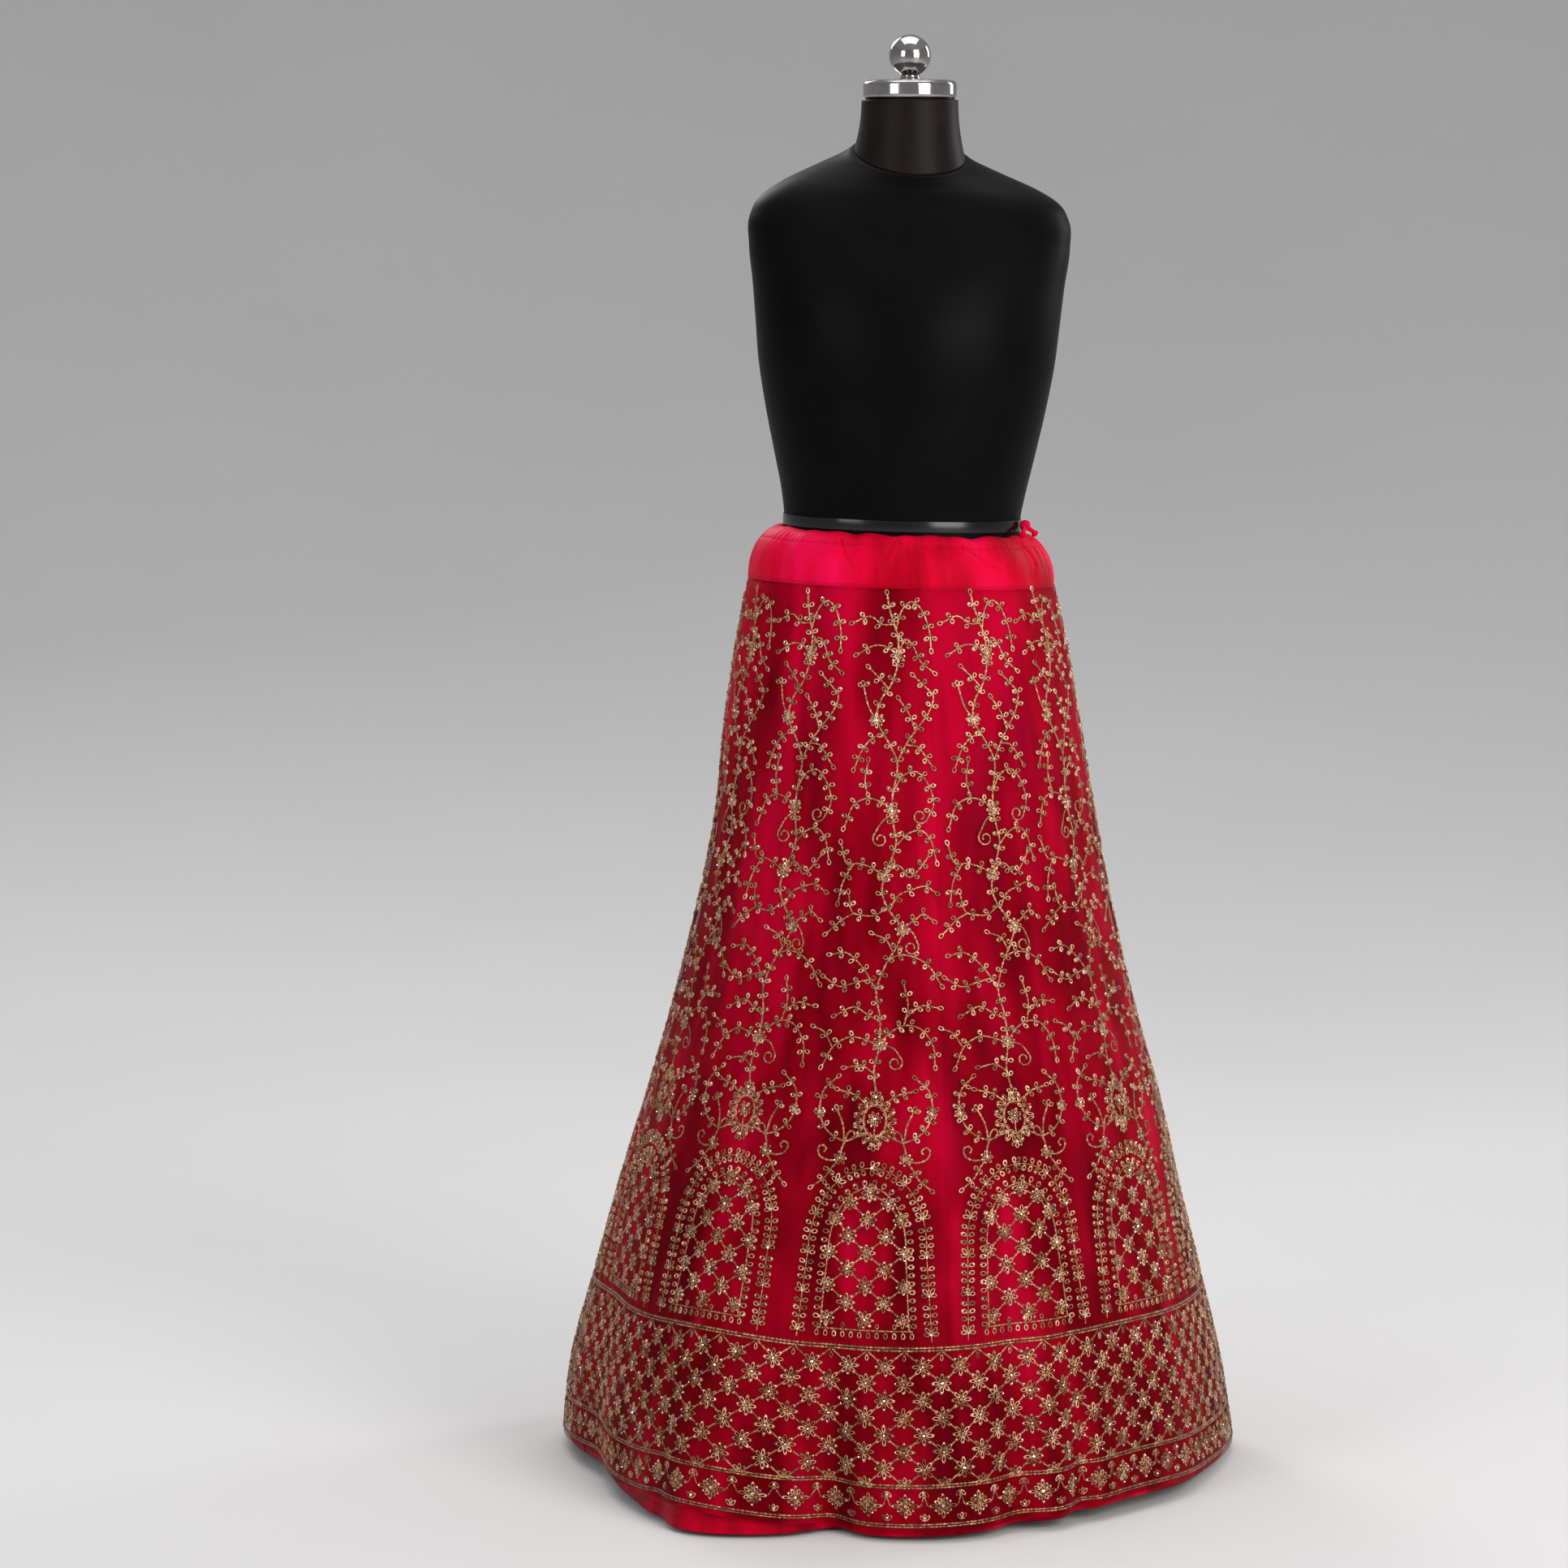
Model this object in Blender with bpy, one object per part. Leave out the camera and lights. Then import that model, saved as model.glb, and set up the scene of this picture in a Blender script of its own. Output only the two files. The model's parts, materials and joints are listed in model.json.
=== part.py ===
"""Lehenga skirt on a limbless dress form.

Twelve net kalis hang over a satin lining of four gores. Both are sewn to a satin waistband, which a
drawstring gathers round the waist of the form. The form stands on a pole and a round base.

Metres and degrees, +Z up. The origin is on the floor, under the form's pole, and the front faces -Y.
An angle round the skirt is 0 at the front and grows towards +X.
"""

import math
from collections import namedtuple

import bpy
import numpy as np

# ---- Driving dimensions ----

WAIST_SEAM_Z = 0.948
WAISTBAND_TOP_Z = 1.0025
LINING_HEM_Z = 0.004
NET_HEM_LIFT = 0.005
WAIST_TILT = 0.030

SEAM_GAP = 0.0003
NET_WALL = 0.0010
LINING_WALL = 0.0010
WAISTBAND_WALL = 0.0026
LAYER_GAP_AT_WAIST = 0.0005
LAYER_GAP_AT_HEM = 0.0075

KALI_COUNT = 12
FIRST_SEAM = 8.0
KALI_DRIFT = 2.5
KALI_COLUMNS = 10
KALI_ROWS = 10
LINING_GORES = 4
LINING_ROWS = 6
WAISTBAND_ROWS = (0.0, 0.42, 0.76, 0.93, 1.0)
SLIT_ANGLE = 75.0
SIDE_SEAM_ANGLE = -84.5
SLIT_WIDTH = 0.0030
WAIST_SEAT_GAP = 0.0004

PUCKER_COUNT = 22
PUCKER_DEPTH = 0.0016
PUCKER_RIPPLE = 0.0010

FORM_SIDES = 36
FORM_BOTTOM_Z = 0.760
RING_LOW_Z = 1.0050
RING_HIGH_Z = 1.0168
RING_WALL = 0.0016
NECK_TOP_Z = 1.4530
NECK_TOP_RADIUS = 0.0508
CAP_RADIUS = 0.0494
CAP_HEIGHT = 0.0205
FINIAL_RADIUS = 0.0220
FINIAL_COLLAR_RADIUS = 0.0110
FINIAL_COLLAR_HEIGHT = 0.0060
POLE_RADIUS = 0.0125
BASE_RADIUS = 0.150
BASE_THICKNESS = 0.012
BASE_HUB_RADIUS = 0.034
BASE_HUB_HEIGHT = 0.034

CORD_RADIUS = 0.0024
KNOT_ANGLE = 76.0
KNOT_HEIGHT = 1.0110
KNOT_RADIUS = 0.0062
KNOT_FLATTENING = 0.92

# Horizontal sections of the skirt's outer surface. half_depth runs along Y, shift_x along X.
Section = namedtuple("Section", "z half_width half_depth shift_x")
SKIRT_SECTIONS = (
    Section(0.000, 0.357, 0.360, -0.008),
    Section(0.100, 0.346, 0.341, -0.011),
    Section(0.200, 0.3230, 0.312, -0.010),
    Section(0.300, 0.2985, 0.283, -0.009),
    Section(0.400, 0.2730, 0.254, -0.005),
    Section(0.500, 0.2455, 0.224, -0.0045),
    Section(0.600, 0.2215, 0.197, -0.0035),
    Section(0.700, 0.2020, 0.173, -0.0030),
    Section(0.800, 0.1885, 0.151, -0.0065),
    Section(0.870, 0.1775, 0.138, -0.0075),
    Section(0.952, 0.1612, 0.120, -0.0090),
)

# Flutes and creases that run down to the hem. depth is outwards at the floor, and fades out at top_z.
Fold = namedtuple("Fold", "angle half_width depth top_z")
SKIRT_FOLDS = (
    Fold(-169.0, 9.0, 0.020, 0.62),
    Fold(-150.0, 8.0, -0.018, 0.55),
    Fold(-131.0, 9.0, 0.016, 0.60),
    Fold(-108.0, 13.0, 0.022, 0.50),
    Fold(-74.0, 12.0, -0.024, 0.42),
    Fold(-41.6, 3.0, -0.009, 0.20),
    Fold(-34.0, 13.0, 0.050, 0.36),
    Fold(-13.0, 4.5, -0.030, 0.24),
    Fold(4.0, 9.0, 0.008, 0.60),
    Fold(20.0, 4.5, -0.018, 0.34),
    Fold(32.5, 2.8, -0.015, 0.24),
    Fold(45.0, 14.0, -0.018, 0.40),
    Fold(72.0, 14.0, -0.014, 0.36),
    Fold(101.0, 10.0, 0.014, 0.58),
    Fold(120.0, 8.0, -0.016, 0.50),
    Fold(140.0, 9.0, 0.019, 0.62),
    Fold(161.0, 8.0, -0.017, 0.55),
)

# Where the hems ride up from the floor: lining_lift for both, net_lift more for the net alone.
HemLift = namedtuple("HemLift", "angle half_width lining_lift net_lift")
HEM_LIFTS = (
    HemLift(-75.0, 25.0, 0.010, 0.004),
    HemLift(-36.0, 16.0, 0.000, 0.018),
    HemLift(47.0, 30.0, 0.010, 0.001),
    HemLift(130.0, 24.0, 0.004, 0.004),
    HemLift(-140.0, 20.0, 0.005, 0.003),
)

# Creases of the waistband, where the drawstring bunches it: depth is inwards at the top edge.
Crease = namedtuple("Crease", "angle half_width depth")
WAIST_CREASES = (
    Crease(-52.0, 5.0, 0.0026),
    Crease(-24.0, 4.0, 0.0018),
    Crease(-4.0, 4.0, 0.0034),
    Crease(32.0, 6.0, 0.0038),
    Crease(58.0, 4.5, 0.0022),
    Crease(112.0, 6.0, 0.0030),
    Crease(150.0, 5.0, 0.0024),
    Crease(-165.0, 6.0, 0.0030),
    Crease(-118.0, 5.0, 0.0026),
)

# Horizontal sections of the dress form. tilt lowers a section's front, and roll its +X side.
FormSection = namedtuple("FormSection", "z half_width half_depth shift_x shift_y tilt roll")
FORM_SECTIONS = (
    FormSection(0.7600, 0.1480, 0.1020, -0.003, 0.000, 0.000, 0.0000),
    FormSection(0.7660, 0.1580, 0.1110, -0.003, 0.000, 0.000, 0.0005),
    FormSection(0.7950, 0.1630, 0.1150, -0.004, 0.000, 0.000, 0.0010),
    FormSection(0.8400, 0.1610, 0.1130, -0.005, 0.000, 0.000, 0.0018),
    FormSection(0.8900, 0.1500, 0.1050, -0.006, 0.000, 0.000, 0.0024),
    FormSection(0.9400, 0.1350, 0.0980, -0.007, 0.000, 0.000, 0.0030),
    FormSection(0.9750, 0.1265, 0.0940, -0.007, 0.000, 0.000, 0.0032),
    FormSection(RING_LOW_Z, 0.1245, 0.0930, -0.007, 0.000, 0.000, 0.0033),
    FormSection(RING_HIGH_Z, 0.1250, 0.0935, -0.007, 0.000, 0.000, 0.0033),
    FormSection(1.0400, 0.1285, 0.0965, -0.006, -0.002, 0.000, 0.0033),
    FormSection(1.0800, 0.1370, 0.1040, -0.005, -0.005, 0.000, 0.0032),
    FormSection(1.1300, 0.1475, 0.1120, -0.004, -0.008, 0.000, 0.0030),
    FormSection(1.1800, 0.1560, 0.1190, -0.003, -0.010, 0.000, 0.0028),
    FormSection(1.2200, 0.1600, 0.1190, -0.002, -0.009, 0.000, 0.0028),
    FormSection(1.2600, 0.1640, 0.1120, -0.001, -0.004, 0.000, 0.0028),
    FormSection(1.3000, 0.1690, 0.1000, 0.000, 0.003, 0.001, 0.0030),
    FormSection(1.3300, 0.1680, 0.0880, 0.000, 0.006, 0.003, 0.0034),
    FormSection(1.3500, 0.1560, 0.0790, 0.000, 0.007, 0.006, 0.0040),
    FormSection(1.3650, 0.1320, 0.0710, 0.000, 0.005, 0.010, 0.0048),
    FormSection(1.3790, 0.0980, 0.0640, 0.000, 0.003, 0.015, 0.0054),
    FormSection(1.3890, 0.0720, 0.0600, 0.000, 0.001, 0.019, 0.0055),
    FormSection(1.3960, 0.0600, 0.0575, 0.000, 0.000, 0.022, 0.0054),
)

# The materials: colour in linear RGB, then roughness and metallic.
Finish = namedtuple("Finish", "color roughness metallic")
FINISHES = {
    "net": Finish((0.42, 0.004, 0.022), 0.60, 0.0),
    "satin": Finish((0.60, 0.006, 0.045), 0.35, 0.0),
    "form_black": Finish((0.008, 0.008, 0.009), 0.35, 0.0),
    "neck_black": Finish((0.020, 0.011, 0.010), 0.45, 0.0),
    "chrome": Finish((0.80, 0.80, 0.82), 0.08, 1.0),
}


def clear_objects():
    for item in list(bpy.data.objects):
        bpy.data.objects.remove(item, do_unlink=True)


def material(name):
    """The Principled material of one finish, made the first time that it is asked for."""
    found = bpy.data.materials.get(name)
    if found:
        return found
    finish = FINISHES[name]
    made = bpy.data.materials.new(name)
    made.use_nodes = True
    shader = made.node_tree.nodes["Principled BSDF"]
    shader.inputs["Base Color"].default_value = (*finish.color, 1.0)
    shader.inputs["Roughness"].default_value = finish.roughness
    shader.inputs["Metallic"].default_value = finish.metallic
    return made


def add_object(name, points, faces, finish, sharp_angle=50.0):
    mesh = bpy.data.meshes.new(name)
    mesh.from_pydata([tuple(map(float, p)) for p in points], [], faces)
    mesh.materials.append(material(finish))
    mesh.shade_smooth()
    mesh.set_sharp_from_angle(angle=math.radians(sharp_angle))
    made = bpy.data.objects.new(name, mesh)
    bpy.context.scene.collection.objects.link(made)
    return made


# ---- Curves through the section tables ----


def smooth_through(table, column, z):
    """A cubic Hermite curve through one column of a section table, read at the heights z."""
    heights = np.array([row.z for row in table])
    values = np.array([getattr(row, column) for row in table])
    slopes = np.gradient(values, heights)
    z = np.clip(z, heights[0], heights[-1])
    low = np.clip(np.searchsorted(heights, z, side="right") - 1, 0, len(heights) - 2)
    step = heights[low + 1] - heights[low]
    t = (z - heights[low]) / step
    blend = t * t * (3 - 2 * t)
    start = slopes[low] * step * t * (1 - t) ** 2
    end = slopes[low + 1] * step * t * t * (1 - t)
    return values[low] * (1 - blend) + values[low + 1] * blend + start - end


def bump(angle, centre, half_width):
    """1 at the centre angle, falling off as a bell; the angles wrap round."""
    apart = (np.asarray(angle) - centre + 180.0) % 360.0 - 180.0
    return np.exp(-((apart / half_width) ** 2))


# ---- The skirt's surface ----


def drifted(angle):
    """The kalis lie a little wider at the front than at the back."""
    return angle + KALI_DRIFT * np.sin(np.radians(angle))


def fold_depth(angle, z):
    depth = 0.0
    for fold in SKIRT_FOLDS:
        fade = np.clip(1.0 - z / fold.top_z, 0.0, 1.0) ** 1.25
        depth = depth + fold.depth * bump(angle, fold.angle, fold.half_width) * fade
    return depth


def skirt_point(angle, z, inwards=0.0):
    """A point of the skirt's outer surface, moved in horizontally, square to its section."""
    turn = np.radians(angle)
    half_width = smooth_through(SKIRT_SECTIONS, "half_width", z)
    half_depth = smooth_through(SKIRT_SECTIONS, "half_depth", z)
    shift_x = smooth_through(SKIRT_SECTIONS, "shift_x", z)
    out_x = np.sin(turn) / half_width
    out_y = -np.cos(turn) / half_depth
    length = np.hypot(out_x, out_y)
    move = fold_depth(angle, z) - inwards
    x = shift_x + half_width * np.sin(turn) + move * out_x / length
    y = -half_depth * np.cos(turn) + move * out_y / length
    return np.stack([x, y, z + 0.0 * x], axis=-1)


def waist_seam_height(angle):
    return WAIST_SEAM_Z - WAIST_TILT * 0.16 * np.sin(np.radians(angle))


def hem_height(angle, is_net):
    height = LINING_HEM_Z + (NET_HEM_LIFT if is_net else 0.0)
    for lift in HEM_LIFTS:
        rise = lift.lining_lift + (lift.net_lift if is_net else 0.0)
        height = height + rise * bump(angle, lift.angle, lift.half_width)
    return height


def layer_inset(z):
    """How far the lining lies behind the net's outer surface."""
    down = np.clip(1.0 - z / WAIST_SEAM_Z, 0.0, 1.0)
    return NET_WALL + LAYER_GAP_AT_WAIST + (LAYER_GAP_AT_HEM - LAYER_GAP_AT_WAIST) * down**0.8


# ---- Walls ----


def pulled_in(grid, gap):
    """Moves the first and last columns of a grid of points in by half a seam's gap."""
    trimmed = grid.copy()
    for edge, inner in ((0, 1), (-1, -2)):
        along = grid[:, inner] - grid[:, edge]
        along = along / np.linalg.norm(along, axis=-1, keepdims=True)
        trimmed[:, edge] = grid[:, edge] + along * gap / 2
    return trimmed


def wall(name, outer, inner, finish):
    """A closed wall between two grids of points, whose rows run down and whose columns run to +angle."""
    rows, columns = outer.shape[:2]
    points = np.concatenate([outer.reshape(-1, 3), inner.reshape(-1, 3)])
    back = rows * columns
    faces = []

    def quad(a, b, c, d):
        faces.append((a, b, c, d))

    for r in range(rows - 1):
        for c in range(columns - 1):
            a = r * columns + c
            quad(a, a + columns, a + columns + 1, a + 1)
            quad(back + a, back + a + 1, back + a + columns + 1, back + a + columns)
    last = (rows - 1) * columns
    for c in range(columns - 1):
        quad(c, c + 1, back + c + 1, back + c)
        quad(last + c + 1, last + c, back + last + c, back + last + c + 1)
    for r in range(rows - 1):
        a = r * columns
        b = a + columns - 1
        quad(a + columns, a, back + a, back + a + columns)
        quad(b, b + columns, back + b + columns, back + b)
    return add_object(name, points, faces, finish)


def hanging_grid(angles, rows, is_net, inset, wall_thickness):
    """Grids of the outer and inner points of a piece that hangs from the waist seam to its hem."""
    down = np.linspace(0.0, 1.0, rows + 1)[:, None]
    top = waist_seam_height(angles)[None, :] - SEAM_GAP
    hem = hem_height(angles, is_net)[None, :]
    z = top + (hem - top) * down
    angle = angles[None, :] + 0.0 * z
    outer = skirt_point(angle, z, inset(z))
    inner = skirt_point(angle, z, inset(z) + wall_thickness)
    return outer, inner


def seam_angles(count):
    return [FIRST_SEAM + 360.0 * k / count for k in range(count + 1)]


def add_kalis():
    seams = seam_angles(KALI_COUNT)
    for k in range(KALI_COUNT):
        angles = drifted(np.linspace(seams[k], seams[k + 1], KALI_COLUMNS + 1))
        outer, inner = hanging_grid(angles, KALI_ROWS, True, lambda z: 0.0 * z, NET_WALL)
        wall(f"net_kali_{k + 1:02d}", pulled_in(outer, SEAM_GAP), pulled_in(inner, SEAM_GAP), "net")


def add_lining():
    seams = seam_angles(LINING_GORES)
    names = ("lining_front_right", "lining_back_right", "lining_back_left", "lining_front_left")
    columns = KALI_COLUMNS * KALI_COUNT // LINING_GORES
    for name, start, end in zip(names, seams[:-1], seams[1:]):
        angles = drifted(np.linspace(start, end, columns + 1))
        outer, inner = hanging_grid(angles, LINING_ROWS, False, layer_inset, LINING_WALL)
        wall(name, pulled_in(outer, SEAM_GAP), pulled_in(inner, SEAM_GAP), "satin")


# ---- The form's surface ----


def form_point(angle, z):
    """A point of the dress form's surface."""
    turn = np.radians(angle)
    half_width = smooth_through(FORM_SECTIONS, "half_width", z)
    half_depth = smooth_through(FORM_SECTIONS, "half_depth", z)
    shift_x = smooth_through(FORM_SECTIONS, "shift_x", z)
    shift_y = smooth_through(FORM_SECTIONS, "shift_y", z)
    tilt = smooth_through(FORM_SECTIONS, "tilt", z)
    roll = smooth_through(FORM_SECTIONS, "roll", z)
    x = shift_x + half_width * np.sin(turn)
    y = shift_y - half_depth * np.cos(turn)
    return np.stack([x, y, z - tilt * np.cos(turn) - roll * np.sin(turn)], axis=-1)


def off_form(angle, z, distance):
    """A point that stands off the form's waist by a distance, square to its section."""
    turn = np.radians(angle)
    out_x = np.sin(turn) / smooth_through(FORM_SECTIONS, "half_width", z)
    out_y = -np.cos(turn) / smooth_through(FORM_SECTIONS, "half_depth", z)
    length = np.hypot(out_x, out_y)
    point = form_point(angle, z)
    point[..., 0] += distance * out_x / length
    point[..., 1] += distance * out_y / length
    return point


# ---- The waistband ----


def waist_pucker(angle, up):
    """How far the waistband's gathers stand off the form. They are strongest at the top edge."""
    turn = np.radians(angle)
    wave = 0.5 + 0.30 * np.cos(PUCKER_COUNT * turn + 1.3 * np.sin(3 * turn))
    wave = wave + 0.20 * np.cos(0.5 * PUCKER_COUNT * turn + 2.0)
    depth = PUCKER_DEPTH * wave * up**1.5
    for crease in WAIST_CREASES:
        depth = depth - crease.depth * bump(angle, crease.angle, crease.half_width) * up * (1 - up) * 3
    return depth


def waistband_top(angle):
    turn = np.radians(angle)
    ripple = PUCKER_RIPPLE * np.cos(PUCKER_COUNT * turn + 1.3 * np.sin(3 * turn) + 0.8)
    notch = 0.0
    for crease in WAIST_CREASES:
        notch = notch + 0.8 * crease.depth * bump(angle, crease.angle, crease.half_width)
    tilt = WAIST_TILT * 0.16 * np.sin(turn)
    return WAISTBAND_TOP_Z - tilt + ripple - notch


def waistband_grid(angles, is_outer):
    """One face of the waistband: full at the seam, and drawn in to the form over its upper part."""
    up = np.array(WAISTBAND_ROWS)[::-1, None]
    angle = angles[None, :] + 0.0 * up
    seam = waist_seam_height(angle)
    top = waistband_top(angle) - (0.0 if is_outer else 0.7 * WAISTBAND_WALL)
    z = seam + (top - seam) * up
    drawn = (1.0 - np.sqrt(1.0 - up**2))[..., None]
    fold_in = 0.0 if is_outer else WAISTBAND_WALL
    low = skirt_point(angle, seam, fold_in)
    seat = WAIST_SEAT_GAP + waist_pucker(angle, np.ones_like(up))
    high = off_form(angle, top, seat + (0.7 * WAISTBAND_WALL if is_outer else 0.0))
    point = low * (1 - drawn) + high * drawn
    out = high - off_form(angle, top, 0.0)
    out = out / np.linalg.norm(out, axis=-1, keepdims=True)
    sway = waist_pucker(angle, up * (1 - up) * 2.4)[..., None]
    point = point + out * sway * (1 - drawn)
    point[..., 2] = z
    return point


def add_waistband():
    half_slit = math.degrees(SLIT_WIDTH / 2 / 0.15)
    columns = KALI_COUNT * KALI_COLUMNS
    for name, start, end, share in (
        ("waistband_front", SIDE_SEAM_ANGLE, SLIT_ANGLE - half_slit, 0.44),
        ("waistband_back", SLIT_ANGLE + half_slit, SIDE_SEAM_ANGLE + 360.0, 0.56),
    ):
        angles = np.linspace(start, end, round(columns * share) + 1)
        outer = pulled_in(waistband_grid(angles, True), SEAM_GAP)
        inner = pulled_in(waistband_grid(angles, False), SEAM_GAP)
        wall(name, outer, inner, "satin")


# ---- The dress form ----


def ring_points(z, point_at):
    angles = np.arange(FORM_SIDES) * 360.0 / FORM_SIDES
    return point_at(angles, np.full(FORM_SIDES, z))


def lofted(name, rings, finish, is_tube=False):
    """A closed skin over a stack of rings, bottom first. A tube's last ring joins its first."""
    sides = len(rings[0])
    points = np.concatenate(rings)
    count = len(rings)
    faces = []
    for r in range(count if is_tube else count - 1):
        here = r * sides
        above = (r + 1) % count * sides
        for c in range(sides):
            n = (c + 1) % sides
            faces.append((here + c, here + n, above + n, above + c))
    if not is_tube:
        faces.append(tuple(reversed(range(sides))))
        faces.append(tuple((count - 1) * sides + c for c in range(sides)))
    return add_object(name, points, faces, finish)


def add_torso():
    rings = [ring_points(row.z, form_point) for row in FORM_SECTIONS]
    lofted("form_torso", rings, "form_black")


def add_waist_ring():
    def at(distance):
        return lambda angles, z: off_form(angles, z, distance)

    near = at(SEAM_GAP)
    far = at(SEAM_GAP + RING_WALL)
    bevel = 0.0006
    rings = [
        ring_points(RING_LOW_Z, near),
        ring_points(RING_LOW_Z, at(SEAM_GAP + RING_WALL - bevel)),
        ring_points(RING_LOW_Z + bevel, far),
        ring_points(RING_HIGH_Z - bevel, far),
        ring_points(RING_HIGH_Z, at(SEAM_GAP + RING_WALL - bevel)),
        ring_points(RING_HIGH_Z, near),
    ]
    lofted("form_waist_ring", rings, "form_black", is_tube=True)


def add_neck():
    collar = FORM_SECTIONS[-1]
    rings = []
    for share in (0.0, 0.25, 0.55, 1.0):
        turn = np.radians(np.arange(FORM_SIDES) * 360.0 / FORM_SIDES)
        flare = (1 - share) ** 2
        half_width = NECK_TOP_RADIUS + (collar.half_width - 0.0015 - NECK_TOP_RADIUS) * flare
        half_depth = NECK_TOP_RADIUS - 0.001 + (collar.half_depth - NECK_TOP_RADIUS) * flare
        low = collar.z + SEAM_GAP
        x = half_width * np.sin(turn)
        y = -half_depth * np.cos(turn)
        slant = collar.roll * x / collar.half_width - collar.tilt * y / collar.half_depth
        z = low + (NECK_TOP_Z - low) * share - slant * (1 - share)
        rings.append(np.stack([x, y, z], axis=-1))
    lofted("form_neck", rings, "neck_black")


def turned(name, profile, finish, sides=FORM_SIDES):
    """A solid of revolution about Z. The profile is (radius, z) pairs, bottom first, ends on the axis."""
    turn = np.arange(sides) * 2 * math.pi / sides
    inner = profile[1:-1]
    points = [(0.0, 0.0, profile[0][1])]
    for radius, z in inner:
        points += [(radius * math.sin(t), -radius * math.cos(t), z) for t in turn]
    points.append((0.0, 0.0, profile[-1][1]))
    top = len(points) - 1
    faces = []
    for c in range(sides):
        n = (c + 1) % sides
        faces.append((0, 1 + n, 1 + c))
        for r in range(len(inner) - 1):
            low = 1 + r * sides
            high = low + sides
            faces.append((low + c, low + n, high + n, high + c))
        last = 1 + (len(inner) - 1) * sides
        faces.append((last + c, last + n, top))
    return add_object(name, points, faces, finish, 35.0)


def add_neck_cap():
    low = NECK_TOP_Z + SEAM_GAP
    top = low + CAP_HEIGHT
    profile = (
        (0.0, low),
        (CAP_RADIUS - 0.0045, low),
        (CAP_RADIUS - 0.0012, low + 0.0015),
        (CAP_RADIUS, low + 0.0040),
        (CAP_RADIUS, top - 0.0045),
        (CAP_RADIUS - 0.0015, top - 0.0015),
        (CAP_RADIUS - 0.0050, top),
        (0.0, top),
    )
    turned("form_neck_cap", profile, "chrome")


def add_finial():
    low = NECK_TOP_Z + 2 * SEAM_GAP + CAP_HEIGHT
    collar_top = low + FINIAL_COLLAR_HEIGHT
    rise = math.sqrt(FINIAL_RADIUS**2 - FINIAL_COLLAR_RADIUS**2)
    centre = collar_top + rise
    profile = [(0.0, low), (FINIAL_COLLAR_RADIUS, low), (FINIAL_COLLAR_RADIUS, collar_top)]
    first = math.asin(-rise / FINIAL_RADIUS)
    steps = 8
    for k in range(1, steps):
        lift = first + (math.pi / 2 - first) * k / steps
        profile.append((FINIAL_RADIUS * math.cos(lift), centre + FINIAL_RADIUS * math.sin(lift)))
    profile.append((0.0, centre + FINIAL_RADIUS))
    turned("form_finial", profile, "chrome", 24)


def add_stand():
    base = (
        (0.0, 0.0),
        (BASE_RADIUS - 0.002, 0.0),
        (BASE_RADIUS, 0.002),
        (BASE_RADIUS, BASE_THICKNESS - 0.003),
        (BASE_RADIUS - 0.003, BASE_THICKNESS),
        (BASE_HUB_RADIUS, BASE_THICKNESS),
        (BASE_HUB_RADIUS - 0.006, BASE_HUB_HEIGHT - 0.004),
        (BASE_HUB_RADIUS - 0.010, BASE_HUB_HEIGHT),
        (0.0, BASE_HUB_HEIGHT),
    )
    turned("form_base", base, "form_black")
    foot = BASE_HUB_HEIGHT + SEAM_GAP
    head = FORM_BOTTOM_Z - SEAM_GAP
    pole = ((0.0, foot), (POLE_RADIUS, foot), (POLE_RADIUS, head), (0.0, head))
    turned("form_pole", pole, "chrome", 24)


# ---- The drawstring's knot and ends ----


def add_tube(name, centres, radii, finish, sides=10):
    """A closed tube through a few centres, with a radius at each."""
    centres = np.array(centres, float)
    along = np.gradient(centres, axis=0)
    along = along / np.linalg.norm(along, axis=1, keepdims=True)
    side = np.cross(along, (0.0, 0.0, 1.0))
    side = side / np.linalg.norm(side, axis=1, keepdims=True)
    up = np.cross(side, along)
    rings = []
    for k, radius in enumerate(radii):
        turn = np.arange(sides)[:, None] * 2 * math.pi / sides
        rings.append(centres[k] + radius * (np.cos(turn) * side[k] + np.sin(turn) * up[k]))
    return lofted(name, [ring[::-1] for ring in rings], finish)


def add_drawstring():
    """The knot sits against the waist ring, and its two short ends lie on the gathered satin."""
    stand_off = SEAM_GAP + RING_WALL + SEAM_GAP + KNOT_RADIUS
    centre = off_form(np.array(KNOT_ANGLE), np.array(KNOT_HEIGHT), stand_off)
    steps = 8
    rings = []
    for k in range(steps + 1):
        lift = math.radians(-78.0 + 156.0 * k / steps)
        radius = KNOT_RADIUS * math.cos(lift)
        turn = np.arange(14) * 2 * math.pi / 14
        ring = np.stack([radius * np.sin(turn), -radius * np.cos(turn), 0 * turn], axis=-1)
        ring[:, 2] = KNOT_FLATTENING * KNOT_RADIUS * math.sin(lift)
        rings.append(centre + ring)
    lofted("drawstring_knot", rings, "satin")
    for name, angle_away, reach, drop in (
        ("drawstring_end_front", -9.0, 0.0125, -0.0100),
        ("drawstring_end_side", 5.0, 0.0185, -0.0105),
    ):
        far = off_form(np.array(KNOT_ANGLE + angle_away), np.array(KNOT_HEIGHT + drop), reach)
        toward = (far - centre) / np.linalg.norm(far - centre)
        near = centre + toward * (KNOT_RADIUS + SEAM_GAP)
        shares = (0.0, 0.35, 0.7, 1.0)
        centres = [near + (far - near) * share for share in shares]
        radii = [CORD_RADIUS * scale for scale in (0.85, 1.0, 1.05, 0.8)]
        add_tube(name, centres, radii, "satin")


def main():
    clear_objects()
    add_kalis()
    add_lining()
    add_waistband()
    add_torso()
    add_waist_ring()
    add_neck()
    add_neck_cap()
    add_finial()
    add_stand()
    add_drawstring()


main()
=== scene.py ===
import json
import math

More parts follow.
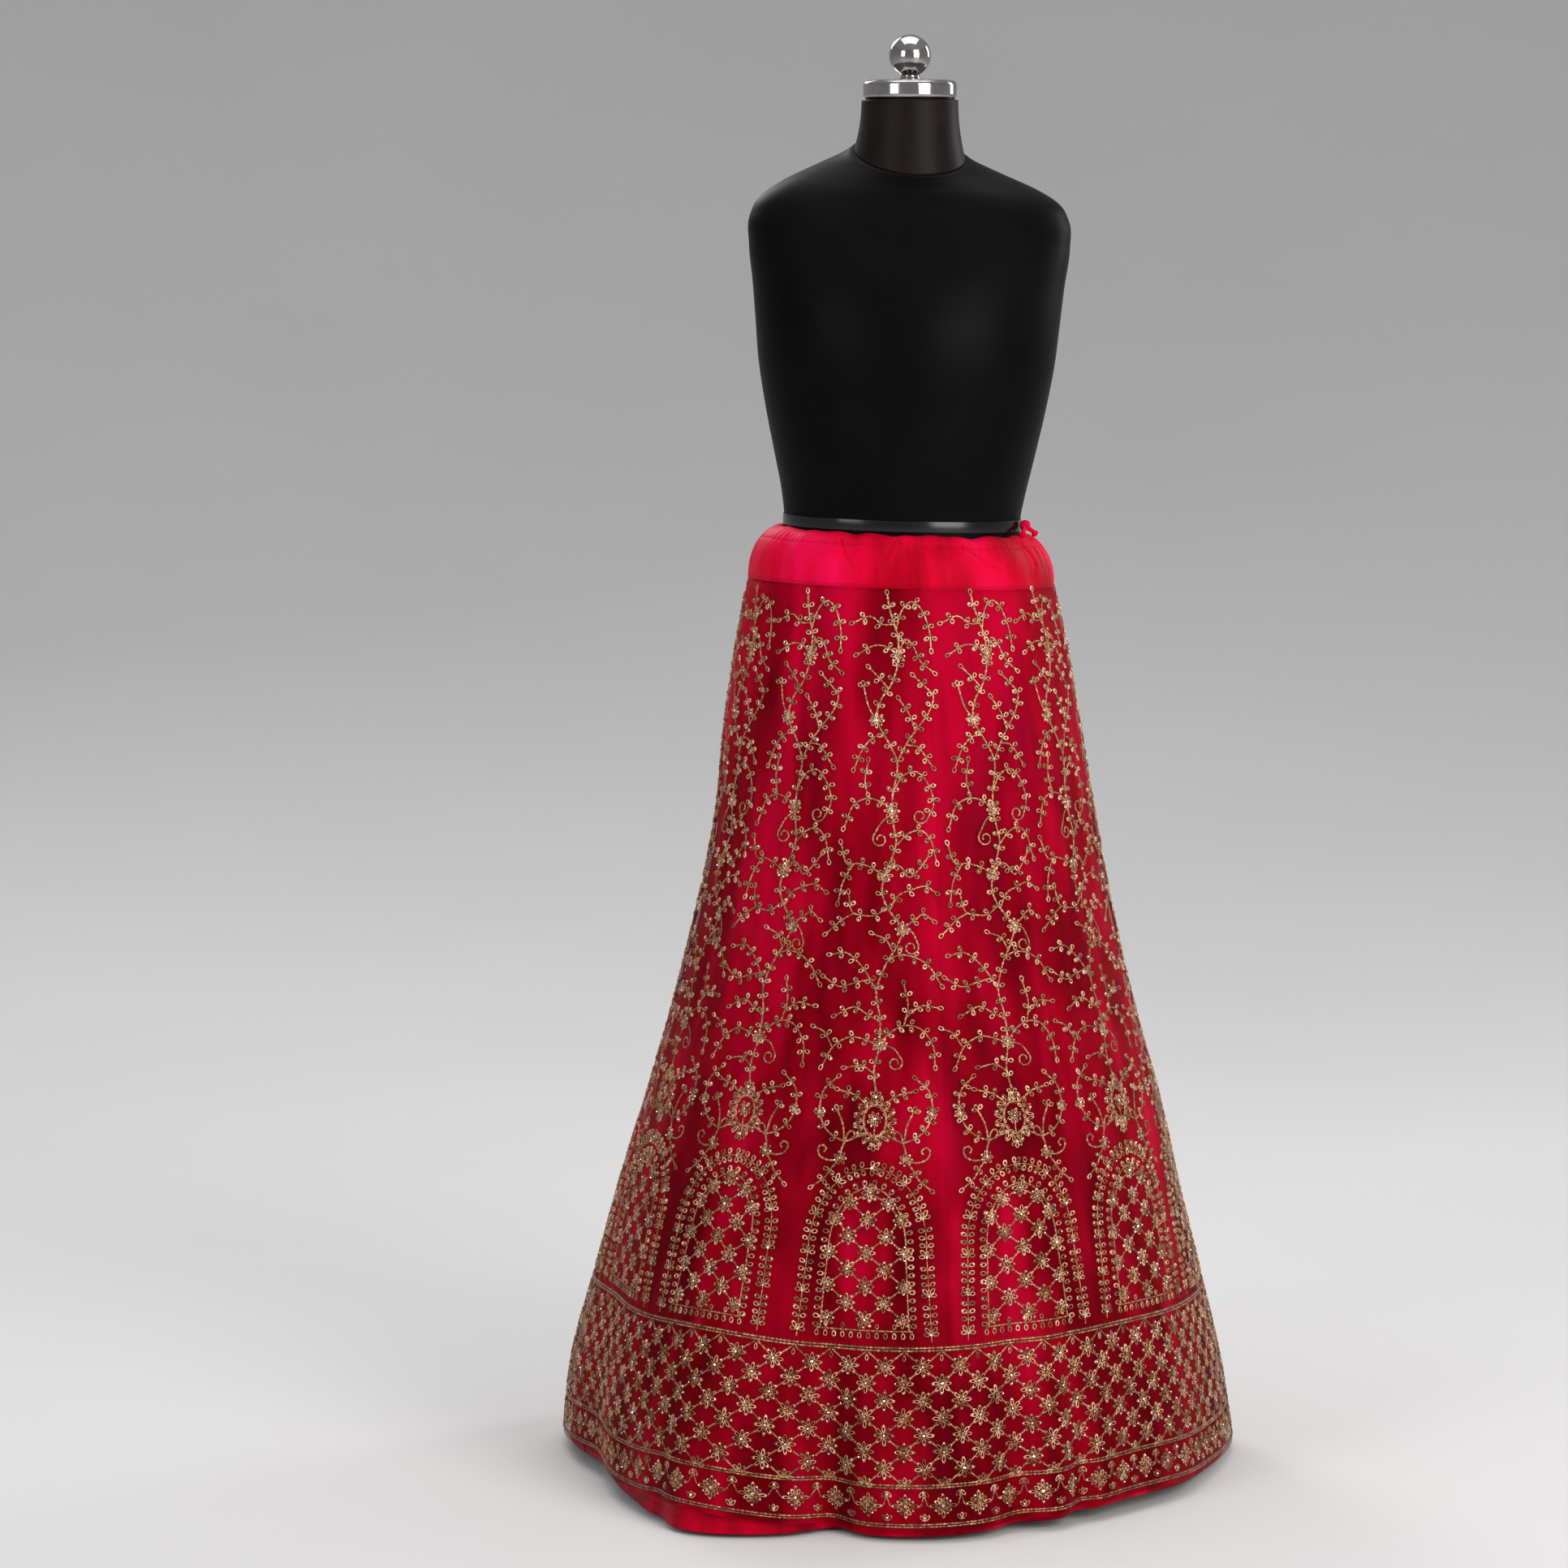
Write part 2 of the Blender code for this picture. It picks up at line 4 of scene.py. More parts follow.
import bpy
import numpy as np
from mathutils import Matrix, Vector


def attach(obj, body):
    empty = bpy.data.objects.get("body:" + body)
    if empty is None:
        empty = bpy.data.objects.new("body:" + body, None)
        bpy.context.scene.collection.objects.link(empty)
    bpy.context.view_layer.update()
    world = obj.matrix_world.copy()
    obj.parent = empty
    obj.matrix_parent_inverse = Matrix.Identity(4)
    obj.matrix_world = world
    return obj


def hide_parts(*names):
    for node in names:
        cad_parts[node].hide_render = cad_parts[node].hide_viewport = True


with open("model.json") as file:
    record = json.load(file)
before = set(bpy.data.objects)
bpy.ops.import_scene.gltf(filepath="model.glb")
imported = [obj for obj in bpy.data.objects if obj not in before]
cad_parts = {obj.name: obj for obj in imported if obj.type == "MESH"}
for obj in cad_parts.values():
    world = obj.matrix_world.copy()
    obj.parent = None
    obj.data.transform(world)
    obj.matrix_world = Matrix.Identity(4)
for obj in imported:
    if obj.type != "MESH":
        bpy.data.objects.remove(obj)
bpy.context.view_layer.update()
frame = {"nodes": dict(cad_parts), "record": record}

random = np.random.default_rng(12)
print("frame loaded:", len(frame["nodes"]), "nodes")


def inMetres(rows, plainColumns=()):
    # a table in mm, but for the columns of degrees and shares, which stay as they are
    rows = np.array(rows, float)
    isPlain = np.isin(np.arange(rows.shape[1]), plainColumns)
    return np.where(isPlain, rows, rows / 1000)


# Measures of the skirt and the form, in metres and degrees, with tables in mm and degrees.
# An angle round the skirt is 0 at the front and grows towards +X.
skirt = {
    "waistSeam": 0.948, "waistTilt": 0.0048, "liningHem": 0.004, "netHemLift": 0.005,
    "netWall": 0.0010, "gapAtWaist": 0.0005, "gapAtHem": 0.0075,
    "kaliCount": 12, "kaliDegrees": 30.0, "firstSeam": 8.0, "drift": 2.5,
    "flatKali": (0.212, 0.975), "flatKaliArea": 0.1385,
    # height, half width, half depth, shift along X
    "sections": inMetres([
        (0, 357, 360, -8), (100, 346, 341, -11), (200, 323, 312, -10), (300, 298.5, 283, -9),
        (400, 273, 254, -5), (500, 245.5, 224, -4.5), (600, 221.5, 197, -3.5),
        (700, 202, 173, -3), (800, 188.5, 151, -6.5), (870, 177.5, 138, -7.5),
        (952, 161.2, 120, -9),
    ]),
    # the large folds: angle, half width, depth outwards at the floor, height where it fades out
    "folds": inMetres([
        (-169, 9, 20, 620), (-150, 8, -18, 550), (-131, 9, 16, 600), (-108, 13, 22, 500),
        (-74, 12, -24, 420), (-41.6, 3, -9, 200), (-34, 13, 50, 360), (-13, 4.5, -30, 240),
        (4, 9, 8, 600), (20, 4.5, -18, 340), (32.5, 2.8, -15, 240), (45, 14, -18, 400),
        (72, 14, -14, 360), (101, 10, 14, 580), (120, 8, -16, 500), (140, 9, 19, 620),
        (161, 8, -17, 550),
    ], (0, 1)),
    # soft creases of the net: angle at the top, degrees it wanders by its foot, half width,
    # depth outwards, foot height, top height
    "creases": inMetres([
        (-172, 3, 2.4, 2, 300, 900), (-158, -2, 1.9, -2.2, 420, 930),
        (-143, 4, 2.6, 2.4, 250, 860), (-126, 2, 2.2, -1.8, 380, 930),
        (-112, -3, 2.8, 2.2, 340, 880), (-98, 1, 2, -2, 440, 930), (-83, -2, 2.4, 1.8, 300, 900),
        (-66, 3, 2.2, -2.2, 360, 920), (-52, -1, 2.6, 2.2, 280, 860), (-37, 2, 2, -1.8, 400, 930),
        (-25, -2, 2.8, 2, 300, 910), (-12, 3, 2.2, -1.6, 360, 880),
        (1.5, -1.5, 2.4, 2.2, 220, 930), (13, 1, 1.8, -2.4, 300, 920),
        (22, -2, 2.6, 1.8, 440, 930), (31, 2, 2, 2, 260, 840), (40, -1, 2.2, -2.4, 340, 920),
        (52, 2, 2.8, 2.2, 240, 900), (64, -3, 2.2, -1.8, 400, 930), (78, 1, 2.6, 2, 300, 870),
        (93, -2, 2.2, -2.2, 360, 920), (108, 3, 2.4, 2.2, 280, 900), (122, -1, 2, -1.8, 440, 930),
        (137, 2, 2.6, 2, 300, 860), (153, -3, 2.2, -2.2, 380, 920), (168, 1, 2.4, 1.8, 340, 910),
    ], (0, 1, 2)),
    # where the hems ride up: angle, half width, rise of both layers, more for the net alone
    "hemLifts": inMetres([
        (-75, 25, 10, 4), (-36, 16, 0, 18), (47, 30, 10, 1), (130, 24, 4, 4), (-140, 20, 5, 3),
    ], (0, 1)),
}

form = {
    # height, half width, half depth, shift X, shift Y, tilt of the front, roll of the +X side
    "sections": inMetres([
        (760, 148, 102, -3, 0, 0, 0), (766, 158, 111, -3, 0, 0, 0.5),
        (795, 163, 115, -4, 0, 0, 1), (840, 161, 113, -5, 0, 0, 1.8),
        (890, 150, 105, -6, 0, 0, 2.4), (940, 135, 98, -7, 0, 0, 3),
        (975, 126.5, 94, -7, 0, 0, 3.2), (1005, 124.5, 93, -7, 0, 0, 3.3),
        (1016.8, 125, 93.5, -7, 0, 0, 3.3), (1040, 128.5, 96.5, -6, -2, 0, 3.3),
        (1080, 137, 104, -5, -5, 0, 3.2), (1130, 147.5, 112, -4, -8, 0, 3),
        (1180, 156, 119, -3, -10, 0, 2.8), (1220, 160, 119, -2, -9, 0, 2.8),
        (1260, 164, 112, -1, -4, 0, 2.8), (1300, 169, 100, 0, 3, 1, 3),
        (1330, 168, 88, 0, 6, 3, 3.4), (1350, 156, 79, 0, 7, 6, 4),
        (1365, 132, 71, 0, 5, 10, 4.8), (1379, 98, 64, 0, 3, 15, 5.4),
        (1389, 72, 60, 0, 1, 19, 5.5), (1396, 60, 57.5, 0, 0, 22, 5.4),
    ]),
    "shoulder": 1.3000, "seamGap": 0.0003,
    "torsoSides": 120, "shoulderRows": 34, "bodyRows": 76,
    "ringLow": 1.0050, "ringHigh": 1.0168, "ringWall": 0.0016, "ringTopWall": 0.0010,
    "ringBevel": 0.0006, "ringSides": 216, "ringEdge": 50.0,
    "neckTop": 1.4530, "neckTopRadius": 0.0508, "neckRows": 30, "neckSides": 96,
    "capRadius": 0.0494, "capHeight": 0.0205, "capSides": 128,
    "finialRadius": 0.0220, "finialRows": 37, "finialSides": 96,
    "collarRadius": 0.0110, "collarHeight": 0.0060, "collarBevel": 0.0012,
}


# Curves and surfaces

def smoothThrough(table, column, z):
    # cubic Hermite curve through one column of a table whose first column is the height
    heights, values = table[:, 0], table[:, column]
    slopes = np.gradient(values, heights)
    z = np.clip(z, heights[0], heights[-1])
    low = np.clip(np.searchsorted(heights, z, side="right") - 1, 0, len(heights) - 2)
    step = heights[low + 1] - heights[low]
    t = (z - heights[low]) / step
    start = slopes[low] * step * t * (1 - t) ** 2
    end = slopes[low + 1] * step * t * t * (1 - t)
    return values[low] * (1 - easeStep(t)) + values[low + 1] * easeStep(t) + start - end


def apart(angle, centre):
    return (np.asarray(angle) - centre + 180.0) % 360.0 - 180.0


def bell(distance, width):
    # 1 at distance 0, falling off as exp(-(distance / width)^2)
    return np.exp(-((distance / width) ** 2))


def easeStep(t):
    t = np.clip(t, 0.0, 1.0)
    return t * t * (3 - 2 * t)


def drifted(angle):
    # the panels lie a little wider at the front than at the back
    return angle + skirt["drift"] * np.sin(np.radians(angle))


def foldDepth(angle, z):
    # sum of bells round the skirt, each times (1 - z / its top)^1.25
    depth = 0.0
    for centre, width, out, top in skirt["folds"]:
        fade = np.clip(1.0 - z / top, 0.0, 1.0) ** 1.25
        depth = depth + out * bell(apart(angle, centre), width) * fade
    return depth


def creaseDepth(creases, angle, z):
    # each crease is a bell round the skirt, eased in at its top and out at its foot
    depth = 0.0
    for centre, wander, width, out, foot, top in creases:
        share = np.clip((top - z) / (top - foot), 0.0, 1.0)
        length = easeStep(share * 3.5) * easeStep((1 - share) * 2.2)
        line = centre + wander * share**1.5
        depth = depth + out * bell(apart(angle, line), width * (0.8 + 0.5 * share)) * length
    return depth


def onEllipse(table, angle, z, move):
    # x and y on the section's ellipse, moved out square to it
    turn = np.radians(angle)
    wide, deep = smoothThrough(table, 1, z), smoothThrough(table, 2, z)
    outX, outY = np.sin(turn) / wide, -np.cos(turn) / deep
    length = np.hypot(outX, outY)
    return wide * np.sin(turn) + move * outX / length, -deep * np.cos(turn) + move * outY / length


def skirtPoint(angle, z, move):
    x, y = onEllipse(skirt["sections"], angle, z, move)
    x = smoothThrough(skirt["sections"], 3, z) + x
    return np.stack([x, y, z + 0.0 * x], axis=-1)


def offForm(angle, z, distance):
    # a point that stands off the form, square to its section
    turn = np.radians(angle)
    x, y = onEllipse(form["sections"], angle, z, distance)
    shiftX, shiftY, tilt, roll = (smoothThrough(form["sections"], k, z) for k in range(3, 7))
    z = z - tilt * np.cos(turn) - roll * np.sin(turn)
    return np.stack([shiftX + x, shiftY + y, z], axis=-1)


def waistSeamHeight(angle):
    return skirt["waistSeam"] - skirt["waistTilt"] * np.sin(np.radians(angle))


def hemRise(angle, isNet):
    rise = 0.0
    for centre, width, both, netMore in skirt["hemLifts"]:
        rise = rise + (both + (netMore if isNet else 0.0)) * bell(apart(angle, centre), width)
    return rise


def hemHeight(angle, isNet):
    return skirt["liningHem"] + (skirt["netHemLift"] if isNet else 0.0) + hemRise(angle, isNet)


def seamFade(angle, z):
    # fine form fades out over the 25 mm below the waist seam, where the layers are sewn together
    return easeStep((waistSeamHeight(angle) - z) / 0.025)


def netMove(angle, z):
    fine = creaseDepth(skirt["creases"], angle, z)
    fine = fine * np.clip((skirt["waistSeam"] - z) / 0.30, 0.25, 1.0)
    return foldDepth(angle, z) + fine * seamFade(angle, z)


def layerInset(z):
    # the lining's inset grows with depth below the waist, as its share^0.8
    down = np.clip(1.0 - z / skirt["waistSeam"], 0.0, 1.0) ** 0.8
    return skirt["netWall"] + skirt["gapAtWaist"] * (1 - down) + skirt["gapAtHem"] * down


# Meshes from arrays

def meshObject(name, points, faceSets, material, tone=None):
    # faceSets are whole arrays of vertex numbers, each with 3 or 4 columns
    mesh = bpy.data.meshes.new(name)
    points = np.asarray(points, np.float32).reshape(-1, 3)
    corners = np.concatenate([faces.astype(np.int32).ravel() for faces in faceSets])
    sizes = np.repeat([f.shape[1] for f in faceSets], [len(f) for f in faceSets])
    mesh.vertices.add(len(points))
    mesh.vertices.foreach_set("co", points.ravel())
    mesh.loops.add(len(corners))
    mesh.loops.foreach_set("vertex_index", corners)
    mesh.polygons.add(len(sizes))
    mesh.polygons.foreach_set("loop_start", (np.cumsum(sizes) - sizes).astype(np.int32))
    mesh.update(calc_edges=True)
    mesh.shade_smooth()
    if tone is not None:
        layer = mesh.attributes.new("tone", "FLOAT", "POINT")
        layer.data.foreach_set("value", np.asarray(tone, np.float32).ravel())
    mesh.materials.append(material)
    made = bpy.data.objects.new(name, mesh)
    bpy.context.scene.collection.objects.link(made)
    return made


def gridFaces(rows, columns, offset=0, isTube=False, flip=False):
    # quads of a grid whose rows run down and whose columns run to +angle, facing out
    wide = columns if isTube else columns - 1
    r, c = np.meshgrid(np.arange(rows - 1), np.arange(wide), indexing="ij")
    a, b = r * columns + c, r * columns + (c + 1) % columns
    quads = np.stack([a, a + columns, b + columns, b], axis=-1).reshape(-1, 4) + offset
    return quads[:, ::-1] if flip else quads


def gridUv(made, rows, columns, flat):
    # UV in metres: along the cloth's width and its length
    u, v = np.meshgrid(np.linspace(0, flat[0], columns), np.linspace(flat[1], 0, rows))
    places = np.stack([u, v], axis=-1).reshape(-1, 2)
    mesh = made.data
    corners = np.empty(len(mesh.loops), np.int32)
    mesh.loops.foreach_get("vertex_index", corners)
    layer = mesh.uv_layers.new(name="cloth")
    uv = places[corners % len(places)].astype(np.float32)
    layer.data.foreach_set("uv", uv.ravel())


def wallObject(name, outer, inner, material):
    # a closed wall between two grids of points
    rows, columns = outer.shape[:2]
    number = np.arange(rows * columns).reshape(rows, columns)
    # the wall's rim, round the grid's edge
    rim = np.concatenate([number[0], number[1:, -1], number[-1, -2::-1], number[-2::-1, 0]])
    a, b = rim[:-1], rim[1:]
    back = rows * columns
    edges = np.stack([a, b, back + b, back + a], axis=-1)
    faces = [gridFaces(rows, columns), gridFaces(rows, columns, back, flip=True), edges]
    return meshObject(name, np.stack([outer, inner]), faces, material)


def cappedObject(name, grid, material):
    # a closed skin over rings of points, top ring first, with a fan at each end
    rows, columns = grid.shape[:2]
    ends = np.stack([grid[0].mean(axis=0), grid[-1].mean(axis=0)])
    count = rows * columns
    c = np.arange(columns)
    n, tip = (c + 1) % columns, np.full(columns, count)
    top = np.stack([c, n, tip], axis=-1)
    low = np.stack([n + count - columns, c + count - columns, tip + 1], axis=-1)
    points = np.concatenate([grid.reshape(-1, 3), ends])
    return meshObject(name, points, [gridFaces(rows, columns, isTube=True), top, low], material)


def turnedObject(name, profile, sides, material):
    # a profile of (radius, height) pairs, bottom first, carried round the Z axis
    turn = np.arange(sides) * 2 * math.pi / sides
    radius, z = profile[::-1, 0][:, None], profile[::-1, 1][:, None]
    points = np.stack([radius * np.sin(turn), -radius * np.cos(turn), z + 0 * turn], axis=-1)
    return cappedObject(name, points, material)


def roundedProfile(corners, steps=8):
    # (radius, height, rounding) corners, each rounded by a quadratic through it
    corners = np.array(corners)
    done = [corners[:1, :2]]
    for before, here, after in zip(corners, corners[1:], corners[2:]):
        size, here = here[2], here[:2]
        before, after = before[:2] - here, after[:2] - here
        p0 = here + before / np.linalg.norm(before) * size
        p2 = here + after / np.linalg.norm(after) * size
        t = np.linspace(0, 1, steps)[:, None]
        done.append((1 - t) ** 2 * p0 + 2 * t * (1 - t) * here + t * t * p2)
    return np.concatenate(done + [corners[-1:, :2]])


def tubeObject(name, centres, radii, sides, material):
    # rings square to a path of points, capped at both ends
    along = np.gradient(centres, axis=0)
    along /= np.linalg.norm(along, axis=1, keepdims=True)
    side = np.cross(along, (0.0, 0.0, 1.0) if abs(along[:, 2]).max() < 0.95 else (0.3, 1.0, 0.2))
    side /= np.linalg.norm(side, axis=1, keepdims=True)
    up = np.cross(side, along)
    turn = np.arange(sides)[None, :, None] * 2 * math.pi / sides
    ways = np.cos(turn) * side[:, None] + np.sin(turn) * up[:, None]
    return cappedObject(name, centres[:, None] + radii[:, None, None] * ways, material)


def smoothPath(points, count):
    # Catmull-Rom curve through a few points, read at even steps
    p = np.concatenate([2 * points[:1] - points[1:2], points, 2 * points[-1:] - points[-2:-1]])
    s = np.linspace(0, len(points) - 1 - 1e-9, count)
    k = s.astype(int)
    t = (s - k)[:, None]
    a, b, c, d = (p[k + j] for j in range(4))
    bend = (2 * a - 5 * b + 4 * c - d) * t**2 + (3 * b - a - 3 * c + d) * t**3
    return 0.5 * (2 * b + (c - a) * t + bend)


# Materials: their noises read the object's own coordinates

class Finish:
    # a material under way, with its node tree, its shader and the place that its noises read
    def __init__(self, name, **values):
        self.material = bpy.data.materials.new(name)
        self.material.use_nodes = True
        self.tree = self.material.node_tree
        self.shader = self.tree.nodes["Principled BSDF"]
        self.set(self.shader, **values)
        self.place = self.node("ShaderNodeTexCoord").outputs["Object"]

    def set(self, node, **values):
        # each value is a number or a link for a socket, or one of the node's own settings
        for key, value in values.items():
            if key not in node.inputs.keys():
                setattr(node, key, value)
            elif isinstance(value, bpy.types.NodeSocket):
                self.tree.links.new(value, node.inputs[key])
            else:
                node.inputs[key].default_value = value
        return node

    def node(self, kind, **values):
        return self.set(self.tree.nodes.new(kind), **values)

    def noise(self, scale, detail):
        place = self.node("ShaderNodeMapping", Vector=self.place, Scale=scale).outputs[0]
        values = {"Scale": 1.0, "Detail": detail, "Roughness": 0.55}
        return self.node("ShaderNodeTexNoise", Vector=place, **values).outputs["Fac"]

    def tone(self):
        return self.node("ShaderNodeAttribute", attribute_name="tone").outputs["Fac"]

    def mixed(self, value, times, plus):
        # value * times + plus
        made = self.node("ShaderNodeMath", operation="MULTIPLY_ADD")
        for socket, part in zip(made.inputs, (value, times, plus)):
            if isinstance(part, bpy.types.NodeSocket):
                self.tree.links.new(part, socket)
            else:
                socket.default_value = part
        return made.outputs[0]

    def raised(self, tone, times):
        # a tone that grows with height, which paints shade on the lower parts
        height = self.node("ShaderNodeSeparateXYZ", Vector=self.place).outputs["Z"]
        return self.mixed(height, times, tone)

    def color(self, tone, *stops):
        # stops are a place in the ramp and a colour
        made = self.node("ShaderNodeValToRGB", Fac=tone)
        elements = made.color_ramp.elements
        while len(elements) < len(stops):
            elements.new(0.5)
        for element, (place, *color) in zip(elements, stops):
            element.position = place
            element.color = (*color, 1.0)
        self.set(self.shader, **{"Base Color": made.outputs["Color"]})

    def rough(self, noise, times, plus):
        self.set(self.shader, Roughness=self.mixed(noise, times, plus))

    def relief(self, height, strength, distance):
        made = self.node("ShaderNodeBump", Height=height, Strength=strength, Distance=distance)
        self.set(self.shader, Normal=made.outputs["Normal"])


def shine(level, tint=None):
    # the shader's specular level, and its tint if it has one
    return {"Specular IOR Level": level, **({"Specular Tint": (*tint, 1.0)} if tint else {})}


clothTint = (1.0, 0.12, 0.26)


def satinMaterial():
    # warp-faced satin: fine floats run down the cloth, under broad bands of painted sheen and
    # painted shade, with painted shade deeper at the foot
    made = Finish("crimsonSatin", Roughness=0.50, Anisotropic=0.35, **shine(0.14, clothTint))
    streak = made.noise((240.0, 240.0, 12.0), 2.0)
    # broad upright bands: painted sheen where bright and pink, painted shade where dark
    sheenAndShadeBands = made.noise((15.0, 15.0, 2.4), 2.5)
    tone = made.mixed(streak, 0.08, made.mixed(sheenAndShadeBands, 0.92, -0.11))
    # the tone grows with height: painted shade, darker towards the foot
    made.color(made.raised(tone, 0.15), (0.34, 0.19, 0.0003, 0.005), (0.46, 0.42, 0.0006, 0.013),
               (0.55, 0.62, 0.0011, 0.027), (0.70, 0.78, 0.0024, 0.066))
    made.rough(streak, 0.18, 0.42)
    made.relief(streak, 0.25, 0.0003)
    return made.material


def netMaterial():
    # fine soft net: see-through, with threads in relief round small cells
    made = Finish("crimsonNet", Alpha=0.58, Roughness=0.65, **shine(0.06, clothTint))
    cells = made.node(
        "ShaderNodeTexVoronoi", Vector=made.place, feature="DISTANCE_TO_EDGE", Scale=620.0)
    # broad upright bands of painted sheen and painted shade, and painted shade darker towards the
    # foot
    tone = made.mixed(made.noise((19.0, 19.0, 2.2), 2.5), 1.0, -0.08)
    made.color(made.raised(tone, 0.16), (0.36, 0.11, 0.0002, 0.0028), (0.50, 0.27, 0.0005, 0.0085),
               (0.66, 0.52, 0.0012, 0.025))
    made.relief(cells.outputs["Distance"], 0.35, 0.0004)
    return made.material


def zariMaterial():
    # antique gold thread: each loop has its own tone and painted edge shade, with the twist's fibres
    # in its relief
    made = Finish("antiqueZari", Metallic=0.72, Roughness=0.36)
    fibre = made.noise((1500.0, 1500.0, 1500.0), 2.0)
    tone = made.mixed(made.tone(), 0.80, made.mixed(fibre, 0.40, -0.10))
    # the tone grows with height: painted shade, darker towards the foot
    made.color(made.raised(tone, 0.14), (0.20, 0.036, 0.010, 0.005), (0.44, 0.20, 0.080, 0.034),
               (0.66, 0.47, 0.236, 0.114), (0.90, 0.90, 0.63, 0.42))
    made.rough(fibre, 0.30, 0.20)
    made.relief(fibre, 0.8, 0.0005)
    return made.material


def sequinMaterial():
    made = Finish("paleSequin", Metallic=0.92, Roughness=0.16)
    made.color(made.tone(), (0.1, 0.55, 0.34, 0.18), (0.6, 0.86, 0.70, 0.50),
               (0.95, 0.97, 0.92, 0.86))
    return made.material


# the plainer finishes: the shader's values, one noise with its two colours, the roughness as that
# noise times a number plus another, and the relief's noise, strength and distance
plainFinishes = {
    "blackStretchCover": {
        "values": {"Roughness": 0.42, **shine(0.04)}, "noise": ((10.0, 10.0, 6.0), 3.0),
        "stops": ((0.3, 0.0015, 0.0015, 0.0018), (0.7, 0.0032, 0.0031, 0.0034)),
        "rough": (0.12, 0.37), "relief": ((900.0, 900.0, 420.0), 2.0, 0.30, 0.0003)},
    "glossBlackBand": {
        "values": {"Roughness": 0.18, **shine(0.40)}, "noise": ((60.0, 60.0, 300.0), 4.0),
        "stops": ((0.35, 0.0012, 0.0012, 0.0014), (0.75, 0.0040, 0.0040, 0.0046)),
        "rough": (0.12, 0.13)},
    "brownBlackNeck": {
        "values": {"Roughness": 0.48, **shine(0.10)}, "noise": ((30.0, 30.0, 22.0), 5.0),
        "stops": ((0.3, 0.0048, 0.0028, 0.0025), (0.7, 0.0105, 0.0062, 0.0054)),
        "rough": (0.20, 0.36), "relief": ((900.0, 900.0, 900.0), 2.0, 0.2, 0.0002)},
    "polishedChrome": {
        "values": {"Metallic": 1.0, "Roughness": 0.06}, "noise": ((50.0, 50.0, 50.0), 4.0),
        "stops": ((0.3, 0.28, 0.265, 0.262), (0.7, 0.42, 0.40, 0.395)), "rough": (0.10, 0.06)},
    "satinBlackSteel": {
        "values": {"Roughness": 0.4}, "noise": ((420.0, 420.0, 420.0), 2.0),
        "stops": ((0.3, 0.008, 0.008, 0.009), (0.7, 0.014, 0.014, 0.015)),
        "relief": ((420.0, 420.0, 420.0), 2.0, 0.15, 0.0003)},
    "crimsonThread": {
        "values": {"Roughness": 0.5, **shine(0.3, (1.0, 0.3, 0.4))},
        "noise": ((1800.0, 1800.0, 1800.0), 2.0),
        "stops": ((0.3, 0.22, 0.0008, 0.007), (0.7, 0.42, 0.0015, 0.015)),
        "relief": ((1800.0, 1800.0, 1800.0), 2.0, 0.4, 0.0002)},
    "paperFloor": {
        "values": {"Roughness": 0.9, **shine(0.15)}, "noise": ((1.2, 1.2, 1.2), 3.0),
        "stops": ((0.3, 0.6402, 0.63535, 0.6305), (0.7, 0.66, 0.655, 0.65))},
}


def plainMaterial(name):
    given = plainFinishes[name]
    made = Finish(name, **given["values"])
    noise = made.noise(*given["noise"])
    made.color(noise, *given["stops"])
    if "rough" in given:
        made.rough(noise, *given["rough"])
    if "relief" in given:
        scale, detail, strength, distance = given["relief"]
        made.relief(made.noise(scale, detail), strength, distance)
    return made.material


satin, net, zari, sequin = satinMaterial(), netMaterial(), zariMaterial(), sequinMaterial()
coverBlack, glossBlack, neckBlack, chrome, standBlack, thread, paper = (
    plainMaterial(name) for name in plainFinishes)

nodeFinish = {
    "net": net, "satin": satin, "form_black": coverBlack, "gloss_black": glossBlack,
    "neck_black": neckBlack, "chrome": chrome, "stand_black": standBlack,
}
for part in frame["record"]["subparts"]:
    mesh = frame["nodes"][part["node"]].data
    mesh.materials.clear()
    mesh.materials.append(nodeFinish[part["material_slot"]])
print("materials made")


# Panels that hang from the waist seam

def hungGrid(start, degrees, columns, down, isNet):
    # angles and heights between two seams, from the waist seam to the hem
    angle = drifted(start + degrees * np.linspace(0, 1, columns))[None]
    top, hem = waistSeamHeight(angle), hemHeight(angle, isNet)
    z = top + (hem - top) * down[:, None]
    return angle + 0 * z, z


def placed(piece, slotName, *nodes):
    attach(piece, "root")
    if nodes:
        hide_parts(*nodes)
    return piece


# The net, drawn in a little along its seams
netShell = {"columns": 29, "rows": 121, "seamDip": 0.0006, "dipWidth": 0.5}


def addNet():
    across = skirt["kaliDegrees"] * np.linspace(0, 1, netShell["columns"])
    dip = netShell["seamDip"] * bell(np.minimum(across, across[::-1]), netShell["dipWidth"])
    down = np.linspace(0, 1, netShell["rows"])
    for k in range(skirt["kaliCount"]):
        start = skirt["firstSeam"] + skirt["kaliDegrees"] * k
        angle, z = hungGrid(start, skirt["kaliDegrees"], netShell["columns"], down, True)
        grid = skirtPoint(angle, z, netMove(angle, z) - dip * seamFade(angle, z))
        piece = meshObject(f"netKali{k + 1:02d}", grid, [gridFaces(*grid.shape[:2])], net)
        gridUv(piece, *grid.shape[:2], skirt["flatKali"])
        placed(piece, "net", f"net_kali_{k + 1:02d}")


addNet()
print("net made")


